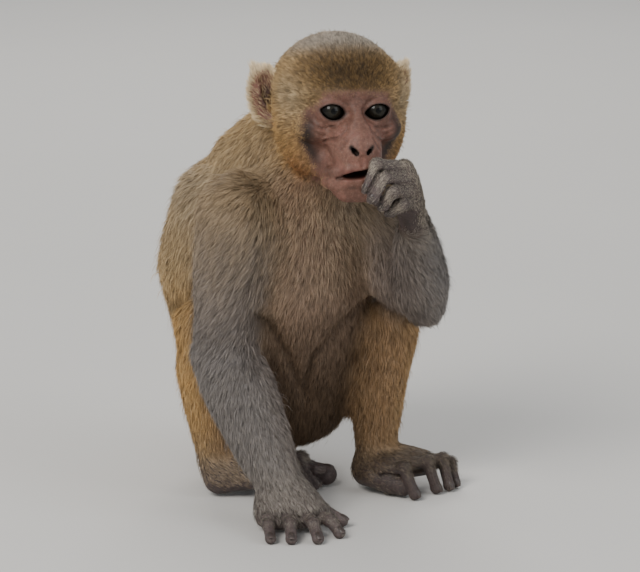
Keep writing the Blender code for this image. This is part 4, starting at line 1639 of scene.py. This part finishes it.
class Shader:
    """The node tree of one material."""

    def __init__(self, name):
        self.material = bpy.data.materials.new(name)
        self.material.use_nodes = True
        self.tree = self.material.node_tree
        self.tree.nodes.clear()

    def node(self, kind, settings=None, sockets=None, out=0):
        """Adds a node: its settings first, then the values or links of its sockets."""
        made = self.tree.nodes.new("ShaderNode" + kind)
        for name, value in (settings or {}).items():
            setattr(made, name, value)
        for name, value in (sockets or {}).items():
            if isinstance(value, Wire):
                self.tree.links.new(value.socket, made.inputs[name])
            elif value is not None:
                made.inputs[name].default_value = value
        return Wire(self, made.outputs[out]) if len(made.outputs) else None

    def field(self, name):
        """The three shares stored under one name on the mesh."""
        stored = self.node("Attribute", {"attribute_name": name}, out="Vector")
        split = self.node("SeparateXYZ", None, {0: stored})
        return [Wire(self, split.socket.node.outputs[k]) for k in range(3)]

    def mix(self, share, first, second, blend="MIX"):
        settings = {"data_type": "RGBA", "blend_type": blend}
        return self.node("Mix", settings, {0: share, 6: opaque(first), 7: opaque(second)}, out=2)

    def step(self, value, low, high):
        """0 below low, 1 above high, and a smooth rise between."""
        sockets = {0: value, 1: low, 2: high, 3: 0.0, 4: 1.0}
        return self.node("MapRange", {"interpolation_type": "SMOOTHSTEP"}, sockets)

    def place(self, scale=(1, 1, 1)):
        """The place on the figure, in metres, stretched by scale."""
        spot = self.node("TexCoord", out="Object")
        return self.node("VectorMath", {"operation": "MULTIPLY"}, {0: spot, 1: scale})

    def noise(self, size, detail=3.0, scale=(1, 1, 1)):
        """Soft random patches of a size in millimetres, from 0 to 1."""
        sockets = {"Vector": self.place(scale), "Scale": 1 / (size * MM), "Detail": detail}
        return self.node("TexNoise", None, sockets)

    def cells(self, size, feature="DISTANCE_TO_EDGE"):
        """Distance from the borders of random cells of a size in millimetres."""
        sockets = {"Vector": self.place(), "Scale": 1 / (size * MM)}
        return self.node("TexVoronoi", {"feature": feature}, sockets)

    def bump(self, height, depth, strength=1.0):
        """Relief of a depth in millimetres."""
        return self.node("Bump", None, {"Strength": strength, "Distance": depth * MM, "Height": height})

    def surface(self, **sockets):
        """The finished surface, from the sockets of a Principled shader with _ for a space."""
        named = {name.replace("_", " "): value for name, value in sockets.items()}
        made = self.node("BsdfPrincipled", None, named)
        self.node("OutputMaterial", None, {"Surface": made})
        return self.material


def opaque(value):
    return value if isinstance(value, Wire) else (*value[:3], 1.0)


def shaded(colour, factor):
    return tuple(min(1.0, channel * factor) for channel in colour[:3])


def coat_colour(shader, colours):
    """The coat's colour where it grows, from the markings on the mesh, with their painted shade and light.
    """
    gold, grey, pale = shader.field("coat_a")
    dark, orange, taupe = shader.field("coat_b")
    patches = shader.noise(9.0, 3.0, (1, 1, 0.5))
    drift = (patches - 0.5) * 0.5
    base = shader.mix(shader.step(patches, 0.35, 0.7), colours.olive, shaded(colours.olive, 0.8))
    base = shader.mix(gold * (drift + 1.0), base, colours.gold)
    base = shader.mix(grey, base, colours.grey)
    base = shader.mix(taupe, base, colours.taupe)
    base = shader.mix(orange, base, colours.orange)
    base = shader.mix(pale * (1.0 - drift), base, colours.pale)
    return shader.mix(dark, base, colours.dark)


def coat_material(colours):
    """Hair: dark at the root, banded towards a pale tip, and no two tufts quite alike."""
    shader = Shader("coat")
    along, tint, lock = shader.field("strand")
    base = coat_colour(shader, colours)
    root = shader.mix(1.0, base, (0.70, 0.66, 0.64), "MULTIPLY")
    banded = shader.mix(shader.step(along, 0.0, 0.55), root, base)
    tip = shader.mix(1.0, base, (1.38, 1.32, 1.16), "MULTIPLY")
    banded = shader.mix(shader.step(along, 0.55, 1.0) * (tint * 0.7 + 0.25), banded, tip)
    # lock also brings the painted sheen of the crown and the painted light of the left hand
    bright = 0.55 + tint * 0.34 + lock * 0.54
    bright = bright * (0.9 + shader.noise(28.0, 2.0) * 0.2)
    light = shader.node("CombineColor", None, {0: bright, 1: bright, 2: bright})
    varied = shader.mix(1.0, banded, light, "MULTIPLY")
    streak = shader.step(tint, 0.78, 0.98) * shader.step(along, 0.2, 0.8) * 0.3
    streak = streak * (1.0 - shader.field("coat_b")[0])
    varied = shader.mix(streak, varied, colours.streak)
    return shader.surface(Base_Color=varied, Roughness=0.62 - tint * 0.12, Specular_IOR_Level=0.24)


def skin_material(colours):
    """Skin: the coat's colour in shade under hair, and pores, creases and mottling where it is bare."""
    shader = Shader("skin")
    bare, shade, red = shader.field("bare")
    hands = shader.field("hands")[0]
    under = shader.mix(1.0, coat_colour(shader, colours), (0.78, 0.72, 0.69), "MULTIPLY")
    mottle, blotch = shader.noise(2.6, 4.0), shader.noise(9.0, 3.0)
    pale = shader.step(mottle, 0.32, 0.7)
    face = shader.mix(pale, shaded(colours.face, 0.80), shaded(colours.face, 1.16))
    face = shader.mix(shader.step(blotch, 0.45, 0.75) * 0.45, face, colours.blush)
    dots = 1.0 - shader.step(shader.cells(1.5, "F1"), 0.12, 0.34)
    face = shader.mix(dots * 0.35, face, shaded(colours.face, 0.4))
    sand = shader.step(shader.noise(0.9, 2.0), 0.52, 0.72) * shader.step(mottle, 0.3, 0.6)
    face = shader.mix(sand * 0.3, face, (0.36, 0.25, 0.20))
    palm = shader.mix(shader.step(mottle, 0.3, 0.7), shaded(colours.hand, 0.78), shaded(colours.hand, 1.25))
    lattice = shader.step(shader.cells(1.7), 0.0, 0.13)
    palm = shader.mix((1.0 - lattice) * 0.5, palm, shaded(colours.hand, 0.5))
    colour = shader.mix(bare, under, face)
    colour = shader.mix(hands, colour, palm)
    colour = shader.mix(red, colour, colours.mouth)
    colour = shader.mix(shade, colour, colours.shade)
    pores = shader.cells(0.85, "F1")
    fine = shader.noise(0.7, 2.0)
    relief = pores * 0.35 + fine * 0.35 + mottle * 0.5
    relief = relief * (1.0 - hands) + (lattice * 0.7 + fine * 0.3) * hands
    rough = 0.5 + mottle * 0.16 - red * 0.12
    return shader.surface(
        Base_Color=colour,
        Roughness=rough,
        Specular_IOR_Level=0.34,
        Subsurface_Weight=0.06,
        Subsurface_Scale=0.003,
        Normal=shader.bump(relief, 0.22, 0.8),
    )


def eye_material(colours, pupil, iris):
    """A wet eye: black pupil, iris with fine spokes, dark ring, brown white of the eye."""
    shader = Shader("eye")
    radius, turn, _ = shader.field("gaze")
    spoke = shader.node("CombineXYZ", None, {0: turn * 6.0, 1: radius * 0.5, 2: 0.0})
    spokes = shader.node("TexNoise", None, {"Vector": spoke, "Scale": 4.0, "Detail": 4.0})
    inner = shader.mix(shader.step(spokes, 0.35, 0.7), shaded(colours.iris, 0.6), shaded(colours.iris, 1.5))
    warm = shader.mix(1.0 - shader.step(radius, pupil, pupil + 2.4), inner, colours.iris_heart)
    ringed = shader.mix(shader.step(radius, iris - 2.6, iris - 0.4), warm, (0.003, 0.0026, 0.0022))
    veins = shader.step(shader.noise(1.6), 0.4, 0.7)
    veined = shader.mix(veins, colours.eye_white, shaded(colours.eye_white, 0.6))
    white = shader.mix(shader.step(radius, iris, iris + 0.9), ringed, veined)
    colour = shader.mix(1.0 - shader.step(radius, pupil - 0.3, pupil + 0.1), white, (0.001, 0.001, 0.001))
    return shader.surface(
        Base_Color=colour,
        Roughness=0.4 + shader.noise(2.0) * 0.1,
        Specular_IOR_Level=0.05,
        Coat_Weight=0.32,
        Coat_Roughness=0.02,
    )


def nail_material(colours):
    """Horn with lines along it, paler and duller at the worn edge."""
    shader = Shader("nail")
    along, across, _ = shader.field("plate")
    grain = shader.node("CombineXYZ", None, {0: across * 9.0, 1: along * 0.6})
    lines = shader.node("TexNoise", None, {"Vector": grain, "Scale": 2.5})
    horn = shader.mix(shader.step(lines, 0.35, 0.65), shaded(colours.nail, 0.7), shaded(colours.nail, 1.3))
    worn = shader.mix(shader.step(along, 0.72, 1.0) * 0.65, horn, shaded(colours.nail, 2.4))
    return shader.surface(
        Base_Color=worn,
        Roughness=0.32 + lines * 0.15,
        Specular_IOR_Level=0.5,
        Normal=shader.bump(lines, 0.12, 0.6),
    )


# Eyes and nails


EYE_BULGE = 0.75  # how far the cornea stands out
BACK_OF_EYE = 20  # less the distance from the axis: the place on the back half


def add_eye(side, settings, material):
    """An eyeball with the cornea's bulge, turned to the gaze, in the place of its solid."""
    centre = eye_centre(side)
    gaze = unit(head.forward + head.up * math.sin(math.radians(settings.gaze_up)))
    across = unit(np.cross(head.up, gaze))
    rise = np.cross(gaze, across)
    rings = np.radians(np.concatenate((np.linspace(0, 62, 56), np.linspace(65, 180, 24))))
    turns = np.linspace(0, 2 * math.pi, 72, endpoint=False)
    polar, turn = np.meshgrid(rings[1:-1], turns, indexing="ij")
    rows, columns = polar.shape
    polar, turn = polar.ravel()[:, None], turn.ravel()[:, None]
    way = np.cos(polar) * gaze + np.sin(polar) * (np.cos(turn) * across + np.sin(turn) * rise)
    points = centre + way * (EYE_RADIUS + EYE_BULGE * (1 - smooth_step(np.degrees(polar), 12, 44)))
    poles = [centre + gaze * (EYE_RADIUS + EYE_BULGE), centre - gaze * EYE_RADIUS]
    points = np.concatenate((points, poles))
    front, back = rows * columns, rows * columns + 1
    faces = []
    for row in range(rows - 1):
        for column in range(columns):
            here, there = row * columns + column, row * columns + (column + 1) % columns
            faces.append((here, here + columns, there + columns))
            faces.append((here, there + columns, there))
    for column in range(columns):
        following = (column + 1) % columns
        faces.append((front, column, following))
        faces.append((back, (rows - 1) * columns + following, (rows - 1) * columns + column))
    obj = mesh_object("eyeball_" + side, points, np.array(faces))
    offset = points - centre
    from_axis = np.linalg.norm(offset - (offset @ gaze)[:, None] * gaze, axis=1)
    from_axis = np.where(offset @ gaze > 0, from_axis, BACK_OF_EYE - from_axis)
    angle = np.arctan2(offset @ rise, offset @ across)
    put_attribute(obj, "gaze", np.stack((from_axis, np.abs(angle), angle), axis=1))
    finish_piece(obj, "eye", material, "eye_" + side)


NAIL_ROWS, NAIL_COLUMNS = 9, 11
NAIL_CLEAR = 0.1  # least height above the floor


def nail_plate(name):
    """Places and (along, across) of one nail, as a grid arched over the tip of its digit."""
    _, middle, tip = digit_joints(name)
    half, long = NAIL[kind(name)]
    run, back = unit(tip - middle), back_of(name)
    across = np.cross(run, back)
    thick = digit_radius(name) * 0.87
    along, over = np.meshgrid(np.linspace(0, 1, NAIL_ROWS), np.linspace(-1, 1, NAIL_COLUMNS), indexing="ij")
    arch = math.radians(62) * over
    sink = 1.0 * smooth_step(along, 0.55, 1.15)
    slim = half * (0.92 - 0.25 * (along - 0.4) ** 2) * (1 - 0.35 * smooth_step(along, 0.8, 1.0) * over**2)
    places = (
        tip
        + run * ((along - 0.42) * long * 1.55)[..., None]
        + across * (np.sin(arch) * slim * 1.15)[..., None]
        + back * (thick - half + np.cos(arch) * half + 0.3 - sink)[..., None]
        - back * (0.55 * (1 - smooth_step(along, 0, 0.25)))[..., None]
    )
    return places.reshape(-1, 3), np.stack((along, over, along), axis=2).reshape(-1, 3)


def add_nails(settings, material):
    """All twenty nails as one piece."""
    places, plates = zip(*[nail_plate(name) for name in DIGITS])
    grid = np.arange(NAIL_ROWS * NAIL_COLUMNS).reshape(NAIL_ROWS, NAIL_COLUMNS)
    quads = np.stack((grid[:-1, :-1], grid[:-1, 1:], grid[1:, 1:], grid[1:, :-1]), axis=2).reshape(-1, 4)
    faces = [quads + index * grid.size for index in range(len(DIGITS))]
    obj = mesh_object("nails", np.concatenate(places), np.concatenate(faces))
    put_attribute(obj, "plate", np.concatenate(plates))
    thicken = obj.modifiers.new("Thicken", "SOLIDIFY")
    thicken.thickness = settings.thickness
    thicken.offset = 0.0
    round_off = obj.modifiers.new("Round", "SUBSURF")
    round_off.levels = round_off.render_levels = 1
    settle(obj)
    for polygon in obj.data.polygons:
        polygon.use_smooth = True
    points = read_mesh(obj)[0]
    if points[:, 2].min() < NAIL_CLEAR:
        points[:, 2] = np.maximum(points[:, 2], NAIL_CLEAR)
        move_points(obj, points)
    finish_piece(obj, "hand_skin", material)


# Stage


# Place, target and focal length
CAMERA = ((-1.2969, -2.2670, 0.7493), (-0.03023, -0.0731, 0.1644), 208.9)
LIT = (-0.02, -0.05, 0.17)  # what every light is turned to
# Place, width and height, and colour of each light
LIGHTS = {
    "key": ((-2.0, -1.1, 2.0), (1.3, 1.3), (1.0, 0.975, 0.94)),
    "fill": ((1.1, -2.2, 1.1), (1.6, 1.6), (0.94, 0.97, 1.0)),
    "back": ((0.9, 1.9, 1.8), (1.6, 1.2), (1.0, 0.98, 0.95)),
}
FLOOR_HALF = 6000.0


def floor_material(colour):
    shader = Shader("floor")
    cloud = shader.noise(400.0, 3.0)
    tone = shader.mix(cloud, shaded(colour, 0.97), shaded(colour, 1.03))
    return shader.surface(Base_Color=tone, Roughness=0.8, Specular_IOR_Level=0.2)


def add_floor(colour):
    corners = np.array([(-1, -1, 0), (1, -1, 0), (1, 1, 0), (-1, 1, 0)]) * FLOOR_HALF
    obj = mesh_object("floor", corners, np.array([(0, 1, 2, 3)]))
    obj.data.materials.append(floor_material(colour))


def aimed(name, data, place, target):
    """A light or camera in its place, turned to its target."""
    obj = bpy.data.objects.new(name, data)
    bpy.context.scene.collection.objects.link(obj)
    obj.location = place
    obj.rotation_euler = (Vector(target) - Vector(place)).to_track_quat("-Z", "Y").to_euler()
    return obj


def add_light(name, power):
    place, size, colour = LIGHTS[name]
    data = bpy.data.lights.new(name, "AREA")
    data.shape, data.energy, data.color = "RECTANGLE", power, colour
    data.size, data.size_y = size
    aimed(name, data, place, LIT)


def add_camera():
    place, target, lens = CAMERA
    data = bpy.data.cameras.new("camera")
    data.lens, data.sensor_width, data.clip_end = lens, 36.0, 50.0
    bpy.context.scene.camera = aimed("camera", data, place, target)


def add_sky(colour, strength):
    world = bpy.data.worlds.new("studio")
    bpy.context.scene.world = world
    world.use_nodes = True
    backdrop = world.node_tree.nodes["Background"]
    backdrop.inputs["Color"].default_value = opaque(colour)
    backdrop.inputs["Strength"].default_value = strength


# Settings


def colour_setting(name, description, default):
    return bpy.props.FloatVectorProperty(
        name=name, description=description, default=default, min=0.0, max=1.0, size=3, subtype="COLOR"
    )


def length_setting(name, description, millimetres):
    return bpy.props.FloatProperty(
        name=name, description=description, default=millimetres * MM, min=0.0, precision=4, unit="LENGTH"
    )


def share_setting(name, description, default, most=1.0):
    return bpy.props.FloatProperty(
        name=name, description=description, default=default, min=0.0, max=most, subtype="FACTOR"
    )


def power_setting(name, description, watts):
    return bpy.props.FloatProperty(name=name, description=description, default=watts, min=0.0)


class MacaqueColours(bpy.types.PropertyGroup):
    """Colours of coat, skin, eyes and nails"""

    olive: colour_setting("Back", "Olive-brown of the back and crown", (0.43, 0.315, 0.172))
    gold: colour_setting("Gold", "Golden brown of rump, thighs and cheeks", (0.46, 0.265, 0.088))
    # Grey and Pale also paint the sheen on the crown and the highlight on the shoulders, Pale the light on
    # the left hand
    grey: colour_setting("Grey", "Cool grey of the forearms and hands", (0.176, 0.162, 0.158))
    pale: colour_setting("Pale", "Pale buff of brow, temples and ear fringe", (0.60, 0.50, 0.34))
    # Dark also paints shade on belly, inner legs, creases, under the jaw, neck front and left foot
    dark: colour_setting("Dark", "Dark brown of the forehead patch and groin", (0.045, 0.025, 0.008))
    orange: colour_setting("Orange", "Orange-brown of the jaw and under the rump", (0.29, 0.115, 0.04))
    taupe: colour_setting("Underside", "Brown of chest, belly and inner limbs", (0.225, 0.150, 0.110))
    streak: colour_setting("Streak", "Palest tufts", (0.50, 0.45, 0.37))
    face: colour_setting("Face", "Dusky pink-brown of the bare face and ears", (0.170, 0.080, 0.057))
    blush: colour_setting("Blush", "Pinker patches of the face", (0.25, 0.104, 0.078))
    # Face markings also paint shade in ear hollows, face creases, nostrils, mouth, upper face, and on feet
    # and undersides
    shade: colour_setting("Face markings", "Dark brown of lid rims and cheekbones", (0.016, 0.008, 0.005))
    mouth: colour_setting("Mouth", "Inside of the mouth", (0.14, 0.045, 0.035))
    hand: colour_setting("Hands", "Grey-brown skin of hands and feet", (0.098, 0.073, 0.069))
    nail: colour_setting("Nails", "Dark horn of the nails", (0.045, 0.032, 0.028))
    iris: colour_setting("Iris", "Grey-green brown of the iris", (0.0085, 0.0074, 0.0052))
    iris_heart: colour_setting("Iris heart", "Warmer ring round the pupil", (0.016, 0.014, 0.009))
    eye_white: colour_setting("White of the eye", "Brown white of the eye", (0.016, 0.009, 0.006))


class MacaqueCoat(bpy.types.PropertyGroup):
    """Measures of the coat"""

    fullness: share_setting("Fullness", "Hairs grown, as a share of the full coat", 1.0, 2.0)
    length: share_setting("Length", "Length of the hair, as a share of its natural length", 1.0, 2.0)
    width: share_setting("Width", "Width of the hair, as a share of its natural width", 1.0, 3.0)
    gather: share_setting("Gather", "How far the tips of a tuft come together", 0.36)
    stray: share_setting("Strays", "Share of hairs that stand out longer than the rest", 0.02)
    tuft: bpy.props.FloatProperty(
        name="Tuft", description="Hairs in a tuft", default=8.0, min=2.0, max=80.0
    )


class MacaqueFeatures(bpy.types.PropertyGroup):
    """Measures of eyes and nails"""

    iris: length_setting("Iris", "Radius of the iris", 6.9)
    pupil: length_setting("Pupil", "Radius of the pupil", 2.2)
    thickness: length_setting("Nail", "Thickness of a nail", 0.45)
    gaze_up: bpy.props.FloatProperty(name="Gaze", description="Degrees that the eyes look up", default=5.0)


class MacaqueStage(bpy.types.PropertyGroup):
    """The floor and the light"""

    floor: colour_setting("Floor", "Pale floor", (0.66, 0.64, 0.61))
    sky: colour_setting("Sky", "Soft light from all round", (0.92, 0.96, 1.0))
    sky_strength: share_setting("Sky strength", "Strength of the soft light", 0.50, 5.0)
    key_power: power_setting("Key", "Power of the main light", 68.0)
    fill_power: power_setting("Fill", "Power of the second light", 19.0)
    back_power: power_setting("Back", "Power of the light behind", 26.0)


# Operators


class MACAQUE_OT_skin(bpy.types.Operator):
    """Sculpt the skin in the place of the flesh solids"""

    bl_idname = "macaque.skin"
    bl_label = "Sculpt skin"

    def execute(self, context):
        finish_piece(build_skin(), "bare_skin", skin_material(context.scene.macaque_colours), *FLESH)
        return {"FINISHED"}


class MACAQUE_OT_eyes(bpy.types.Operator):
    """Set both eyes"""

    bl_idname = "macaque.eyes"
    bl_label = "Set eyes"

    def execute(self, context):
        features = context.scene.macaque_features
        material = eye_material(context.scene.macaque_colours, features.pupil / MM, features.iris / MM)
        for side in SIDES:
            add_eye(side, features, material)
        return {"FINISHED"}


class MACAQUE_OT_nails(bpy.types.Operator):
    """Lay the nails on all twenty digits"""

    bl_idname = "macaque.nails"
    bl_label = "Lay nails"

    def execute(self, context):
        add_nails(context.scene.macaque_features, nail_material(context.scene.macaque_colours))
        return {"FINISHED"}


class MACAQUE_OT_coat(bpy.types.Operator):
    """Grow the coat of one group of parts"""

    bl_idname = "macaque.coat"
    bl_label = "Grow coat"

    group: bpy.props.EnumProperty(
        name="Parts",
        description="The parts that the coat covers",
        items=[(name, name.capitalize(), f"Coat of the {name}") for name in COATS],
        default="trunk",
    )

    def execute(self, context):
        material = bpy.data.materials.get("coat") or coat_material(context.scene.macaque_colours)
        grow_coat(self.group, context.scene.macaque_coat, material)
        return {"FINISHED"}


class MACAQUE_OT_stage(bpy.types.Operator):
    """Set the floor, the lights and the camera"""

    bl_idname = "macaque.stage"
    bl_label = "Set stage"

    def execute(self, context):
        stage = context.scene.macaque_stage
        add_floor(stage.floor)
        for name in LIGHTS:
            add_light(name, getattr(stage, name + "_power"))
        add_sky(stage.sky, stage.sky_strength)
        add_camera()
        return {"FINISHED"}


class MACAQUE_PT_panel(bpy.types.Panel):
    """The steps of the figure, with their settings"""

    bl_label = "Macaque"
    bl_space_type = "VIEW_3D"
    bl_region_type = "UI"
    bl_category = "Macaque"

    def draw(self, context):
        layout = self.layout
        for step in ("skin", "eyes", "nails"):
            layout.operator("macaque." + step)
        for name in COATS:
            layout.operator("macaque.coat", text=f"Grow {name} coat").group = name
        layout.operator("macaque.stage")
        for group in SETTINGS:
            box = layout.box()
            settings = getattr(context.scene, group)
            for field in settings.__annotations__:
                box.prop(settings, field)


SETTINGS = {
    "macaque_colours": MacaqueColours,
    "macaque_coat": MacaqueCoat,
    "macaque_features": MacaqueFeatures,
    "macaque_stage": MacaqueStage,
}
OPERATORS = (MACAQUE_OT_skin, MACAQUE_OT_eyes, MACAQUE_OT_nails, MACAQUE_OT_coat, MACAQUE_OT_stage)
CLASSES = (*SETTINGS.values(), *OPERATORS, MACAQUE_PT_panel)


def register():
    """Makes the settings, steps and panel known to Blender."""
    for made in CLASSES:
        bpy.utils.register_class(made)
    for name, group in SETTINGS.items():
        setattr(bpy.types.Scene, name, bpy.props.PointerProperty(type=group))


def unregister():
    for name in SETTINGS:
        delattr(bpy.types.Scene, name)
    for made in reversed(CLASSES):
        bpy.utils.unregister_class(made)


def main():
    """Builds the whole figure on its stage."""
    register()
    bpy.ops.macaque.stage()
    bpy.ops.macaque.skin()
    bpy.ops.macaque.eyes()
    bpy.ops.macaque.nails()
    for group in COATS:
        bpy.ops.macaque.coat(group=group)


if __name__ == "__main__":
    main()
